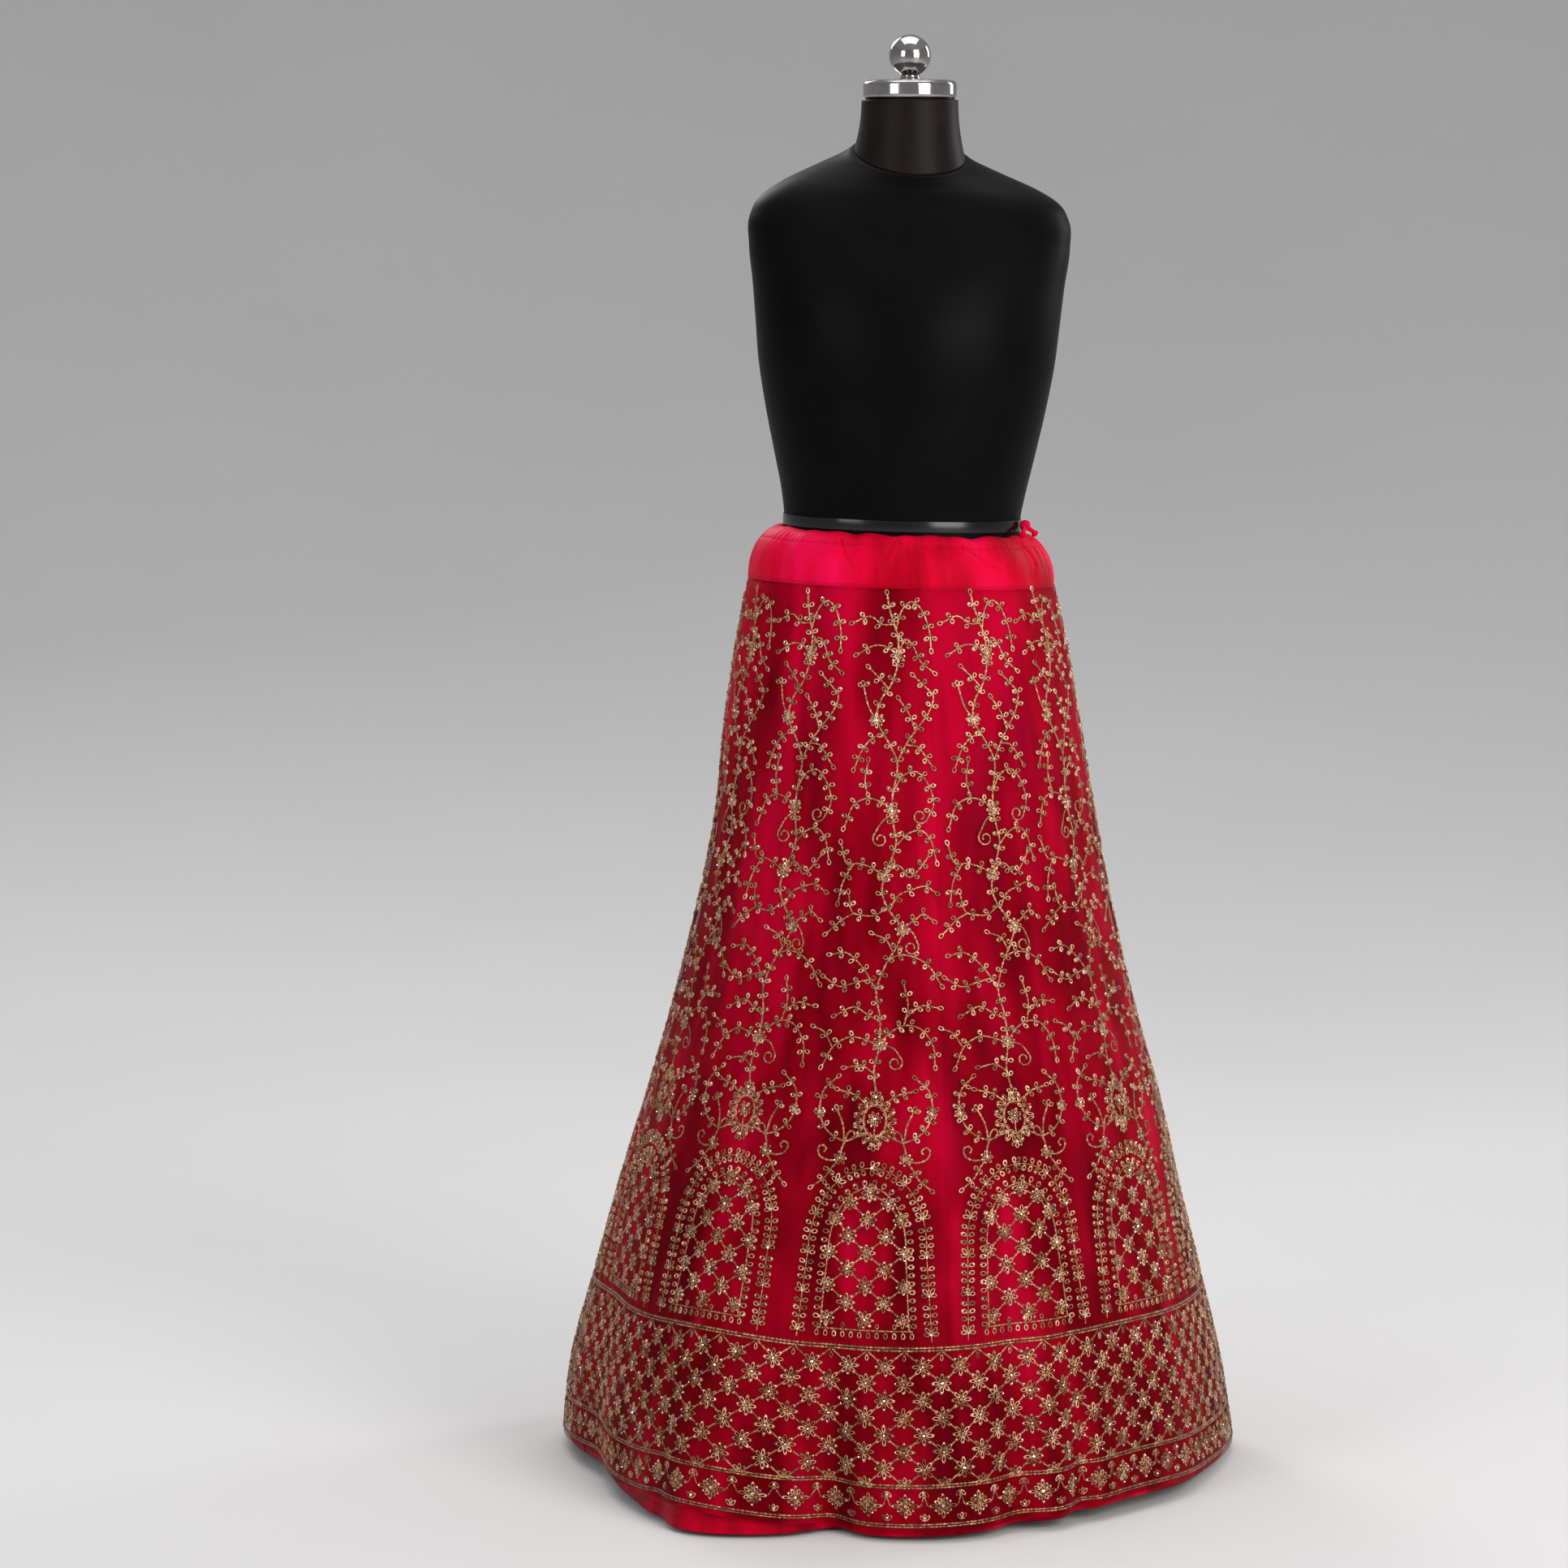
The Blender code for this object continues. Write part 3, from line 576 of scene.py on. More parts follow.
# The satin lining, a quarter of the skirt in each gore
lining = {
    "gores": {"FrontRight": "lining_front_right", "BackRight": "lining_back_right",
              "BackLeft": "lining_back_left", "FrontLeft": "lining_front_left"},
    "goreDegrees": 90.0, "columns": 81, "evenRows": 54,
    # more rows at the hem, as shares of the length
    "hemRows": (0.9868, 0.9876, 0.9884, 0.9892, 0.994, 0.999),
    "wall": 0.0005, "hemFold": 0.012, "hemStep": 0.0015, "netCreaseShare": 0.4, "gapShare": 0.55,
    "flat": (0.62, 0.975), "flatArea": 0.405,
    # folds of the satin under the net: angle, wander, half width, depth outwards, foot, top
    "creases": inMetres([
        (-176, 2, 1.6, -4, 200, 930), (-164, -3, 1.2, 2.6, 300, 880),
        (-149, 2, 1.5, -4.2, 160, 930), (-136, 1, 1.2, 2.4, 340, 900),
        (-121, -2, 1.7, -3.8, 220, 930), (-104, 3, 1.3, 2.8, 280, 860),
        (-90, -1, 1.6, -4.2, 180, 930), (-77, 2, 1.2, 2.2, 360, 900),
        (-60, -2, 1.5, -4, 200, 930), (-46, 1.5, 1.2, 2.6, 300, 880),
        (-31, -1.5, 1.6, -3.8, 240, 930), (-18, 2, 1.2, 2.4, 340, 910),
        (-6, -1, 1.4, -4, 180, 930), (6, 1, 1.2, 2.8, 260, 920), (15, -1, 1.3, -4.4, 200, 930),
        (25, 1.5, 1.1, 2.6, 320, 930), (34.5, -1, 1.4, -4, 220, 930), (45, 2, 1.2, 2.8, 280, 900),
        (57, -2, 1.5, -4.2, 180, 930), (70, 1, 1.3, 2.4, 340, 920), (84, -1, 1.6, -4, 220, 930),
        (99, 2, 1.2, 2.6, 300, 880), (114, -2, 1.5, -3.8, 200, 930), (129, 1, 1.3, 2.4, 320, 900),
        (144, -1, 1.6, -4.2, 180, 930), (160, 2, 1.2, 2.6, 280, 910),
    ], (0, 1, 2)),
}


def liningMove(angle, z):
    # behind the net by the layers' gap, with its own folds, and a turned-up hem
    inset = layerInset(z)
    fine = creaseDepth(lining["creases"], angle, z)
    fine = fine + lining["netCreaseShare"] * creaseDepth(skirt["creases"], angle, z)
    room = lining["gapShare"] * (inset - skirt["netWall"])
    fine = np.minimum(fine * seamFade(angle, z), room)
    fold = easeStep((hemHeight(angle, False) + lining["hemFold"] - z) / lining["hemStep"])
    return foldDepth(angle, z) - inset + fine + lining["wall"] * fold


def addLining():
    evenly = np.linspace(0, 1, lining["evenRows"])
    down = np.sort(np.concatenate([evenly, lining["hemRows"]]))
    for k, (name, nodeName) in enumerate(lining["gores"].items()):
        start = skirt["firstSeam"] + lining["goreDegrees"] * k
        angle, z = hungGrid(start, lining["goreDegrees"], lining["columns"], down, False)
        move = liningMove(angle, z)
        outer, inner = (skirtPoint(angle, z, move - wall) for wall in (0.0, lining["wall"]))
        piece = wallObject(f"satinLining{name}", outer, inner, satin)
        gridUv(piece, *outer.shape[:2], lining["flat"])
        placed(piece, "satin", nodeName)


addLining()
print("lining made")


# The waistband
band = {
    "top": 1.0025, "wall": 0.0026, "seatGap": 0.0004, "sideSeam": -84.5,
    "slit": 75.0, "slitWidth": 0.0030, "radius": 0.15,
    "puckers": 22, "puckerDepth": 0.0016, "puckerRipple": 0.0006, "sway": 2.4, "notch": 0.6,
    "columns": 680, "rows": 35, "flat": (0.92, 0.068), "perDegree": 0.0025, "tall": 0.054,
    "seamRidge": 0.0007, "channel": 0.80, "channelDepth": 0.0005,
    "gathers": 96, "gatherDepth": 0.0005, "gatherFrom": 0.55,
    # bunched by the drawstring: angle, half width, depth inwards
    "creases": inMetres([
        (-52, 5, 2.6), (-24, 4, 1.8), (-4, 4, 3.4), (32, 6, 3.8), (58, 4.5, 2.2), (112, 6, 3),
        (150, 5, 2.4), (-165, 6, 3), (-118, 5, 2.6),
    ], (0, 1)),
    # pulls in the satin: angle and share of the height at both ends, half width, depth inwards
    "pulls": inMetres([
        (25, 0.8, 15, 0.6, 1.3, 3), (25, 0.8, 41, 0.34, 1.4, 3.6),
        (18.5, 0.26, 18.8, 0.08, 1.2, 0.8), (60, 0.84, 62.5, 0.46, 2.4, 2),
        (62.5, 0.46, 58.5, 0.14, 2.4, 1.4), (68.5, 0.92, 67, 0.36, 2, 2),
        (72, 0.96, 66, 0.62, 1.8, 1.6), (-4, 0.96, -6.5, 0.62, 1.4, 2.6),
        (-4, 0.96, 1, 0.7, 1.3, 2.2), (-27, 0.86, -20, 0.4, 1.5, 2.6),
        (-27, 0.86, -38, 0.52, 1.4, 2.2), (-58, 0.9, -55, 0.38, 2.2, 1.4),
        (-76, 0.92, -72, 0.48, 2, 1.4), (84, 0.92, 90, 0.44, 2.2, 1.6),
        (79.5, 0.96, 80.5, 0.56, 1.8, 1.6), (112, 0.88, 104, 0.46, 2, 1.4),
        (112, 0.88, 121, 0.4, 2, 1.4), (150, 0.9, 146, 0.42, 2, 1.2),
        (-165, 0.9, -158, 0.44, 2, 1.4), (-165, 0.9, -172, 0.5, 2, 1.2),
        (-118, 0.88, -124, 0.42, 2.2, 1.4), (-100, 0.9, -103, 0.5, 1.8, 1.2),
        (172, 0.9, 176, 0.46, 1.8, 1.2), (131, 0.92, 134, 0.58, 1.8, 1.2),
    ], (0, 1, 2, 3)),
}


def puckerPhase(angle):
    turn = np.radians(angle)
    return band["puckers"] * turn + 1.3 * np.sin(3 * turn)


def waistPucker(angle, up):
    # cosine gathers that grow as up^1.5, less the bunched creases at mid height
    wave = 0.5 + 0.30 * np.cos(puckerPhase(angle))
    wave = wave + 0.20 * np.cos(0.5 * band["puckers"] * np.radians(angle) + 2.0)
    depth = band["puckerDepth"] * wave * up**1.5
    for centre, width, deep in band["creases"]:
        depth = depth - deep * bell(apart(angle, centre), width) * up * (1 - up) * 3
    return depth


def bandTop(angle):
    top = band["top"] - skirt["waistTilt"] * np.sin(np.radians(angle))
    top = top + band["puckerRipple"] * np.cos(puckerPhase(angle) + 0.8)
    for centre, width, deep in band["creases"]:
        top = top - band["notch"] * deep * bell(apart(angle, centre), width)
    return top


def pullDepth(angle, up):
    # a trough along each short line, as a bell of the distance from it
    depth = 0.0
    for angle0, up0, angle1, up1, width, deep in band["pulls"]:
        x, y = apart(angle, angle0) * band["perDegree"], (up - up0) * band["tall"]
        dx, dy = (angle1 - angle0) * band["perDegree"], (up1 - up0) * band["tall"]
        t = np.clip((x * dx + y * dy) / (dx * dx + dy * dy), 0.0, 1.0)
        distance = np.hypot(x - t * dx, y - t * dy)
        depth = depth + deep * bell(distance, width) * (1 - 0.6 * t)
    return depth


def bandRelief(angle, up):
    # pulls, the seam's ridge, the drawstring's channel, and fine gathers that go as a sine
    turn = np.radians(angle)
    gather = 0.5 + 0.5 * np.sin(band["gathers"] * turn + 3 * np.sin(7 * turn))
    fine = pullDepth(angle, up) + band["seamRidge"] * bell(up - 0.03, 0.022)
    fine = fine + band["channelDepth"] * bell(up - band["channel"], 0.02)
    fine = fine + band["gatherDepth"] * gather * easeStep((up - band["gatherFrom"]) / 0.3)
    return fine * easeStep((1 - up) * 12) * easeStep(up * 20)


def bandGrid(angles, up, isOuter):
    # full at the seam, and drawn in to the form over its upper part as 1 - sqrt(1 - up^2)
    angle = angles[None] + 0.0 * up
    wall = 0.7 * band["wall"]
    seam = waistSeamHeight(angle)
    top = bandTop(angle) - (0.0 if isOuter else wall)
    drawn = (1.0 - np.sqrt(1.0 - up**2))[..., None]
    low = skirtPoint(angle, seam, foldDepth(angle, seam) - (0.0 if isOuter else band["wall"]))
    seat = band["seatGap"] + waistPucker(angle, np.ones_like(up))
    high = offForm(angle, top, seat + (wall if isOuter else 0.0))
    out = high - offForm(angle, top, 0.0)
    out = out / np.linalg.norm(out, axis=-1, keepdims=True)
    sway = waistPucker(angle, up * (1 - up) * band["sway"])[..., None] * (1 - drawn)
    point = low * (1 - drawn) + high * drawn + out * (sway - bandRelief(angle, up)[..., None])
    point[..., 2] = seam + (top - seam) * up
    return point


def addWaistband():
    halfSlit = math.degrees(band["slitWidth"] / 2 / band["radius"])
    up = np.sin(np.linspace(1, 0, band["rows"]) * math.pi / 2)[:, None]
    slit, seam = band["slit"], band["sideSeam"]
    for name, nodeName, start, end in (
        ("satinWaistbandFront", "waistband_front", seam, slit - halfSlit),
        ("satinWaistbandBack", "waistband_back", slit + halfSlit, seam + 360.0),
    ):
        share = (end - start) / 360.0
        angles = np.linspace(start, end, round(band["columns"] * share))
        outer, inner = (bandGrid(angles, up, isOuter) for isOuter in (True, False))
        piece = wallObject(name, outer, inner, satin)
        width = band["flat"][0] * share
        gridUv(piece, *outer.shape[:2], (width, band["flat"][1]))
        placed(piece, "satin", nodeName)


# Stitches beside the waist seam and at the drawstring's channel
stitches = {
    "pitch": 0.0040, "length": 0.0029, "round": 0.93, "slitMargin": 2.0, "firstAngle": 0.4,
    # share of the band's height, and of a stitch's pitch that the row is shifted by
    "rows": ((0.024, 0.0), (0.058, 0.5), (0.80, 0.25)),
    # places along a stitch from its middle, as shares of its half, and how full it is there
    "along": (-1.0, -0.6, 0.6, 1.0), "full": (0.0, 1.0, 1.0, 0.0),
    # its section: outwards and upwards
    "out": inMetres([[0, 0.405, 0.495, 0.405]])[0], "up": inMetres([[0, 0.28, 0, -0.28]])[0],
}


def addStitches():
    # short rounded stitches, each a tube of four rings with four corners
    full = np.array(stitches["full"])[:, None]
    count = round(stitches["round"] / stitches["pitch"])
    half = stitches["length"] / 2 / stitches["round"] * 360.0
    rings = []
    for height, shift in stitches["rows"]:
        angles = (np.arange(count) + shift) * 360.0 / count + stitches["firstAngle"]
        angles = angles[np.abs(apart(angles, band["slit"])) > stitches["slitMargin"]]
        along = (angles[:, None] + half * np.array(stitches["along"])).ravel()
        base = bandGrid(along, np.full((1, len(along)), height), True)[0].reshape(-1, 4, 1, 3)
        out = base * (1.0, 1.6, 0.0)
        out /= np.linalg.norm(out, axis=-1, keepdims=True)
        ring = base + out * (stitches["out"] * full)[..., None]
        ring[..., 2] += stitches["up"] * (0.4 + 0.6 * full)
        rings.append(ring)
    rings = np.concatenate(rings)
    a = np.arange(len(rings))[:, None, None] * 16 + np.arange(0, 12, 4)[:, None] + np.arange(4)
    b = a + np.array([1, 1, 1, -3])
    quads = np.stack([a, b, b + 4, a + 4], axis=-1).reshape(-1, 4)
    return placed(meshObject("waistbandStitches", rings, [quads], thread), "satin")


addWaistband()
addStitches()
print("waistband made")


# Embroidery, drawn on the net in its own measures.
# A place on the net is a base angle b, as if the panels were even, and a height v that rides up
# with the hem. The table holds the net's point, its outward normal, and the metres in one degree
# and one metre of height, read between its entries by straight blends.
netTable = {"degrees": 0.25, "height": 0.002, "top": 0.962, "offset": 0.00015, "rideTop": 0.45}


def fillNetTable():
    b = np.arange(-180.0, 180.01, netTable["degrees"])[None]
    v = np.arange(0.0, netTable["top"], netTable["height"])[:, None]
    angle = drifted(b) + 0 * v
    z = v + hemRise(angle, True) * np.clip(1 - v / netTable["rideTop"], 0.0, 1.0)
    point = skirtPoint(angle, z, netMove(angle, z))
    across = np.gradient(point, netTable["degrees"], axis=1)
    across[:, 0] = across[:, -1] = (point[:, 1] - point[:, -2]) / (2 * netTable["degrees"])
    up = np.gradient(point, netTable["height"], axis=0)
    normal = np.cross(across, up)
    lengths = [np.linalg.norm(way, axis=-1, keepdims=True) for way in (normal, across, up)]
    netTable["values"] = np.concatenate([point, normal / lengths[0]] + lengths[1:], axis=-1)


def readNet(b, v):
    values = netTable["values"]
    column = ((np.asarray(b) + 180.0) % 360.0) / netTable["degrees"]
    row = np.clip(np.asarray(v) / netTable["height"], 0, values.shape[0] - 1.001)
    c, r = np.floor(column).astype(int), np.floor(row).astype(int)
    c = np.minimum(c, values.shape[1] - 2)
    s, t = (column - c)[..., None], (row - r)[..., None]
    low = values[r, c] * (1 - s) + values[r, c + 1] * s
    high = values[r + 1, c] * (1 - s) + values[r + 1, c + 1] * s
    return low * (1 - t) + high * t


def onNet(b, v, dx=0.0, dy=0.0, height=0.0):
    # a point dx across and dy up the cloth from (b, v), standing off the net by height
    b, v, dx, dy, height = np.broadcast_arrays(b, v, dx, dy, height)
    here = readNet(b, v)
    there = readNet(b + dx / here[..., 6], v + dy / here[..., 7])
    return there[..., :3] + there[..., 3:6] * (height + netTable["offset"])[..., None]


def placeAcross(centre, v, x):
    # the base angle x metres across from a centre line
    v, x = np.broadcast_arrays(v, x)
    return centre + x / readNet(centre + 0.0 * v, v)[..., 6]


def measured(b, v):
    # distance along a curve on the net, and its heading from the +angle way, unwrapped
    values = readNet(b, v)
    step = np.linalg.norm(np.diff(values[:, :3], axis=0), axis=-1)
    heading = np.arctan2(np.gradient(v) * values[:, 7], np.gradient(b) * values[:, 6])
    return np.concatenate([[0.0], np.cumsum(step)]), np.unwrap(heading)


def lengthOf(b, v):
    return measured(b, v)[0][-1]


def readAlong(b, v, places):
    # base angle, height and heading at some distances along a curve
    s, heading = measured(b, v)
    return [np.interp(places, s, x) for x in (b, v, heading)]


def rowsOf(*columns):
    return np.stack([np.ravel(c).astype(float) for c in np.broadcast_arrays(*columns)], axis=-1)


def byTurns(count):
    # -1 and 1 by turns, down a column
    return np.arange(count)[:, None] % 2 * 2 - 1


def ringTurns(count):
    return np.arange(count) * 2 * math.pi / count


def kindsOf(plainColumns, **rows):
    # named sizes in mm, but for the plain columns
    return {name: inMetres([row], plainColumns)[0] for name, row in rows.items()}


threads = {
    # a petal's outline and its rings' scale and height: edge, crest and hole
    "petalSides": 8, "petalHeight": 0.0014, "petalRings": ((1.0, 0.0), (0.74, 1.0), (0.42, 0.10)),
    # painted shade: the rings' tones darken a petal's edge and hole against its crest
    "petalFull": 0.545, "petalCentre": 0.58, "petalWidth": 0.005, "ringShade": (0.45, 1.0, 0.15),
    # painted shade: a ribbon's tones darken its edges against its middle
    "stemHeight": 0.0010, "stitch": 0.0024, "swell": 0.34, "edgeShade": (0.35, 1.0, 0.35),
    "linkRows": 6, "chainPitch": 0.0040, "chainAside": 0.27, "chainHalf": 0.21, "chainSwell": 0.50,
    "sequinSides": 6, "sequinRadius": 0.0012, "sequinDome": 0.00045, "sequinTilt": 0.30,
    # leaf pairs: scatter along the stem, turn from it, scatter of turn and size, bead's place
    "placeScatter": 0.0006, "pairTurn": 1.08, "turnScatter": 0.10, "sizeScatter": 0.06,
    "flowerScatter": 0.05, "beadReach": 0.80, "flowerBeadReach": 0.75, "lastPair": 0.78,
}
# petals: start from their place, length, width
leaf = kindsOf(
    (), pair=(0.6, 7, 5.3), tip=(-0.6, 7.84, 5.3), halfFlower=(1, 8, 4.2), bud=(0.2, 8.4, 4),
    garlandPair=(0.4, 7.8, 5.6), inner=(0.6, 8.2, 6), drop=(0.8, 7.8, 5.4), foot=(0.8, 6.6, 4.8),
    wreath=(0, 11.4, 3.8), wreathFoot=(0, 6.2, 3.6), crest=(0, 7.8, 4.6),
)
# flowers: petals, start, length, width
blossom = kindsOf(
    (0,), band=(8, 1.3, 9.8, 4.6), arch=(8, 1.2, 8.8, 4.5), archEdge=(8, 1.2, 7.4, 4),
    vine=(8, 1.3, 7.4, 3.7), medallion=(8, 1.4, 6.8, 3.4), spray=(7, 0.8, 7, 3.6),
    smallSpray=(7, 0.8, 5.6, 3.6),
)
# sequins: size, height above the net, share of them that is sewn on
spangle = {
    "bead": (0.66, 0.0014, 0.75), "wreathBead": (0.66, 0.0014, 0.6), "flower": (1.15, 0.0012, 1.0),
    "garland": (1.1, 0.0013, 1.0), "diamond": (1.3, 0.0014, 1.0), "bud": (0.9, 0.0014, 1.0),
    "crest": (1.2, 0.0014, 1.0),
}


class Embroidery:
    # gathers petals, ribbons and sequins as arrays; its petals and ribbons make one mesh
    def __init__(self, name):
        self.name, self.petals, self.ribbons, self.sequins = name, [], [], []

    def ray(self, b, v, turn, start, length, width, dx=0.0, dy=0.0):
        # a loop of thread that points away from its own place, (dx, dy) from (b, v)
        x, y = dx + start * np.cos(turn), dy + start * np.sin(turn)
        self.petals.append(rowsOf(b, v, x, y, turn, length, width))

    def sequin(self, b, v, kind, dx=0.0, dy=0.0):
        size, lift, share = spangle[kind]
        rows = rowsOf(b, v, dx, dy, size, lift)
        self.sequins.append(rows[random.random(len(rows)) < share])

    def beads(self, b, v, turn, reach):
        # small beads part of the way out along some of the petals
        self.sequin(b, v, "bead", reach * np.cos(turn), reach * np.sin(turn))

    def strips(self, points, tone):
        # quads along a ribbon of points, three to a row, with painted shade on its edges
        tone = np.outer(tone, threads["edgeShade"]).ravel()
        self.ribbons.append((points.reshape(-1, 3), gridFaces(*points.shape[:2]), tone))

    def draw(self, b, v, heading, width):
        # flat ribbons with a raised middle, one to a row of b and v, wide and narrow by turns
        side = width / 2 * (1.0 + threads["swell"] * byTurns(b.shape[1])) * (-1.0, 0.0, 1.0)
        b, v, heading = b[..., None], v[..., None], heading[..., None]
        rise = threads["stemHeight"] * np.array([0.0, 1.0, 0.0])
        for points in onNet(b, v, -side * np.sin(heading), side * np.cos(heading), rise):
            self.strips(points, 0.35 + 0.5 * random.random(len(points)))

    def stem(self, b, v, width):
        length = lengthOf(b, v)
        count = max(3, round(length / threads["stitch"]) + 1)
        b, v, heading = readAlong(b, v, np.linspace(0, length, count))
        self.draw(b[None], v[None], heading[None], width)

    def links(self, b0, v0, b1, v1, start, end, width):
        # straight threads between pairs of places, drawn from one share of the way to another
        b0, v0, b1, v1 = (np.ravel(x)[:, None] for x in np.broadcast_arrays(b0, v0, b1, v1))
        share = np.linspace(start, end, threads["linkRows"])
        scales = readNet((b0 + b1) / 2, (v0 + v1) / 2)
        heading = np.arctan2((v1 - v0) * scales[..., 7], (b1 - b0) * scales[..., 6])
        self.draw(b0 + (b1 - b0) * share, v0 + (v1 - v0) * share, heading, width)

    def rope(self, v, width):
        # two rows of chain stitch round the whole skirt, wide and narrow by turns
        length = readNet(np.arange(-180, 180, 0.5), v)[:, 6].sum() * 0.5
        count = 2 * round(length / threads["chainPitch"]) + 1
        b = np.linspace(-180, 180, count)[:, None]
        swell = 1.0 + threads["chainSwell"] * byTurns(count)
        rise = threads["stemHeight"] * (0.8 + 0.4 * swell) * (0.0, 1.0, 0.0)
        for way in (-1, 1):
            aside = way * threads["chainAside"] + threads["chainHalf"] * swell * (1.0, 0.0, -1.0)
            points = onNet(b, v, 0.0, width * aside, rise)
            self.strips(points, 0.30 + 0.65 * random.random(count))

    def flower(self, b, v, kind, turn=0.0, dx=0.0, dy=0.0):
        count, inner, length, width = blossom[kind]
        b, v, dx, dy = (np.ravel(x)[:, None] for x in np.broadcast_arrays(b, v, dx, dy))
        shape = (len(b), int(count))
        around = turn + ringTurns(shape[1]) + random.normal(0, threads["flowerScatter"], shape)
        size = length * (1 + random.normal(0, threads["flowerScatter"], shape))
        self.ray(b, v, around, inner, size, width, dx, dy)
        self.beads(b, v, around, inner + threads["flowerBeadReach"] * length)
        self.sequin(b, v, "flower", dx, dy)

    def pairs(self, b, v, spacing, start, tip=True):
        # leaf pairs along a curve at even steps, and one leaf at its tip
        inner, length, width = leaf["pair"]
        first = start * spacing
        last = lengthOf(b, v) - threads["lastPair"] * spacing
        count = max(1, round((last - first) / spacing) + 1)
        places = np.linspace(first, max(last, first), count)
        places = places + random.normal(0, threads["placeScatter"], count)
        pb, pv, heading = readAlong(b, v, places)
        for side in (1, -1):
            aside = threads["pairTurn"] + random.normal(0, threads["turnScatter"], count)
            size = length * (1 + random.normal(0, threads["sizeScatter"], count))
            self.ray(pb, pv, heading + side * aside, inner, size, width)
            self.beads(pb, pv, heading + side * aside, threads["beadReach"] * length)
        if tip:
            self.ray(b[-1], v[-1], measured(b, v)[1][-1], *leaf["tip"])

    def make(self):
        points, quads, tones = zip(*([self.petalMesh()] + self.ribbons))
        offsets = np.cumsum([0] + [len(p) for p in points])
        quads = np.concatenate([q + offset for q, offset in zip(quads, offsets)])
        tone = np.concatenate(tones)
        print(self.name, 2 * len(quads), "triangles")
        return placed(meshObject(self.name, np.concatenate(points), [quads], zari, tone), "zari")

    def petalMesh(self):
        # teardrops x = (1 - cos t) / 2, y = sin t * sin(t / 2)^0.4, in rings at edge, crest, hole
        rows = np.concatenate(self.petals)
        sides, centre = threads["petalSides"], threads["petalCentre"]
        t = ringTurns(sides) + math.pi / sides
        x = (1 - np.cos(t)) / 2 - centre
        y = threads["petalFull"] * np.sin(t) * np.sin(t / 2) ** 0.4
        x, y, lift = np.concatenate([
            [centre + x * scale, y * scale, 0 * x + high] for scale, high in threads["petalRings"]
        ], axis=1)
        b, v, dx, dy, turn, length, width = rows.T[..., None]
        along, across = x * length, y * width
        px = dx + along * np.cos(turn) - across * np.sin(turn)
        py = dy + along * np.sin(turn) + across * np.cos(turn)
        size = np.clip(width / threads["petalWidth"], 0.6, 1.2)
        points = onNet(b, v, px, py, lift * threads["petalHeight"] * size)
        faces = gridFaces(3, sides, isTube=True)[:, [0, 3, 2, 1]]
        faces = faces + (np.arange(len(rows)) * 3 * sides)[:, None, None]
        # a random tone for each petal, times painted shade at its edge and hole
        tone = 0.45 + 0.55 * random.random(len(rows))
        tone = np.outer(tone, np.repeat(threads["ringShade"], sides))
        tone = tone * (0.72 + 0.56 * random.random(tone.shape))
        return points.reshape(-1, 3), faces.reshape(-1, 4), tone.ravel()


def sequinPiece(name, layers):
    # six-sided domed discs, each tipped a little its own way
    rows = np.concatenate([s for layer in layers for s in layer.sequins])
    b, v, dx, dy, size, lift = rows.T[..., None]
    sides = threads["sequinSides"]
    x, y = (np.append(way(ringTurns(sides)), 0.0) * size for way in (np.cos, np.sin))
    x, y = x * threads["sequinRadius"], y * threads["sequinRadius"]
    dome = np.append(np.zeros(sides), threads["sequinDome"])
    tip = random.normal(0, threads["sequinTilt"], (len(rows), 2))
    points = onNet(b, v, dx + x, dy + y, lift + dome + x * tip[:, :1] + y * tip[:, 1:])
    c = np.arange(sides)
    fan = np.stack([c, (c + 1) % sides, 0 * c + sides], axis=-1)
    faces = fan + (np.arange(len(rows)) * (sides + 1))[:, None, None]
    tone = np.repeat(random.random(len(rows)), sides + 1)
    piece = meshObject(name, points, [faces.reshape(-1, 3)], sequin, tone)
    piece.data.shade_flat()
    print(name, len(rows), "sequins")
    return placed(piece, "sequin")


hemBand = {
    "ropeTop": 0.1885, "ropeLow": 0.0550, "ropeFoot": 0.0165, "ropeWidth": 0.0052,
    "flowersRound": 57, "rows": 7, "firstRow": 0.1715, "rowStep": 0.0166, "diagonal": 0.0021,
    # half flowers against the ropes: the petals' angles
    "topTurns": (-90,), "lowTurns": (90, 45, 135, 0, 180), "topGap": 0.0035, "lowGap": 0.0010,
    # where the diagonals start and end, as shares of the way between two flowers or to a rope
    "linkFrom": 0.36, "linkTo": 0.64, "ropeFrom": 0.05, "ropeTo": 0.95, "linkGap": 0.002,
}


def addHemBand():
    # a lattice of eight-petalled flowers joined by diagonal threads, between two ropes
    layer = Embroidery("zariHemLattice")
    count, rows = hemBand["flowersRound"], hemBand["rows"]
    first = np.arange(count) * 360.0 / count - 180.0
    halfStep = 180.0 / count
    heights = hemBand["firstRow"] - hemBand["rowStep"] * np.arange(rows)
    for k, v in enumerate(heights):
        layer.flower(first + halfStep * (k % 2), v, "band")
    for v, turns in ((hemBand["ropeTop"] - hemBand["topGap"], hemBand["topTurns"]),
                     (hemBand["ropeLow"] + hemBand["lowGap"], hemBand["lowTurns"])):
        for turn in turns:
            layer.ray(first + halfStep, v, math.radians(turn), *leaf["halfFlower"])
    ends = (hemBand["ropeTop"] - hemBand["linkGap"], *heights, hemBand["ropeLow"])
    for k in range(rows + 1):
        b = first + halfStep * ((k + 1) % 2)
        start = hemBand["ropeFrom" if k == 0 else "linkFrom"]
        end = hemBand["ropeTo" if k == rows else "linkTo"]
        for way in (1, -1):
            far = b + way * halfStep
            layer.links(b, ends[k], far, ends[k + 1], start, end, hemBand["diagonal"])
    return layer


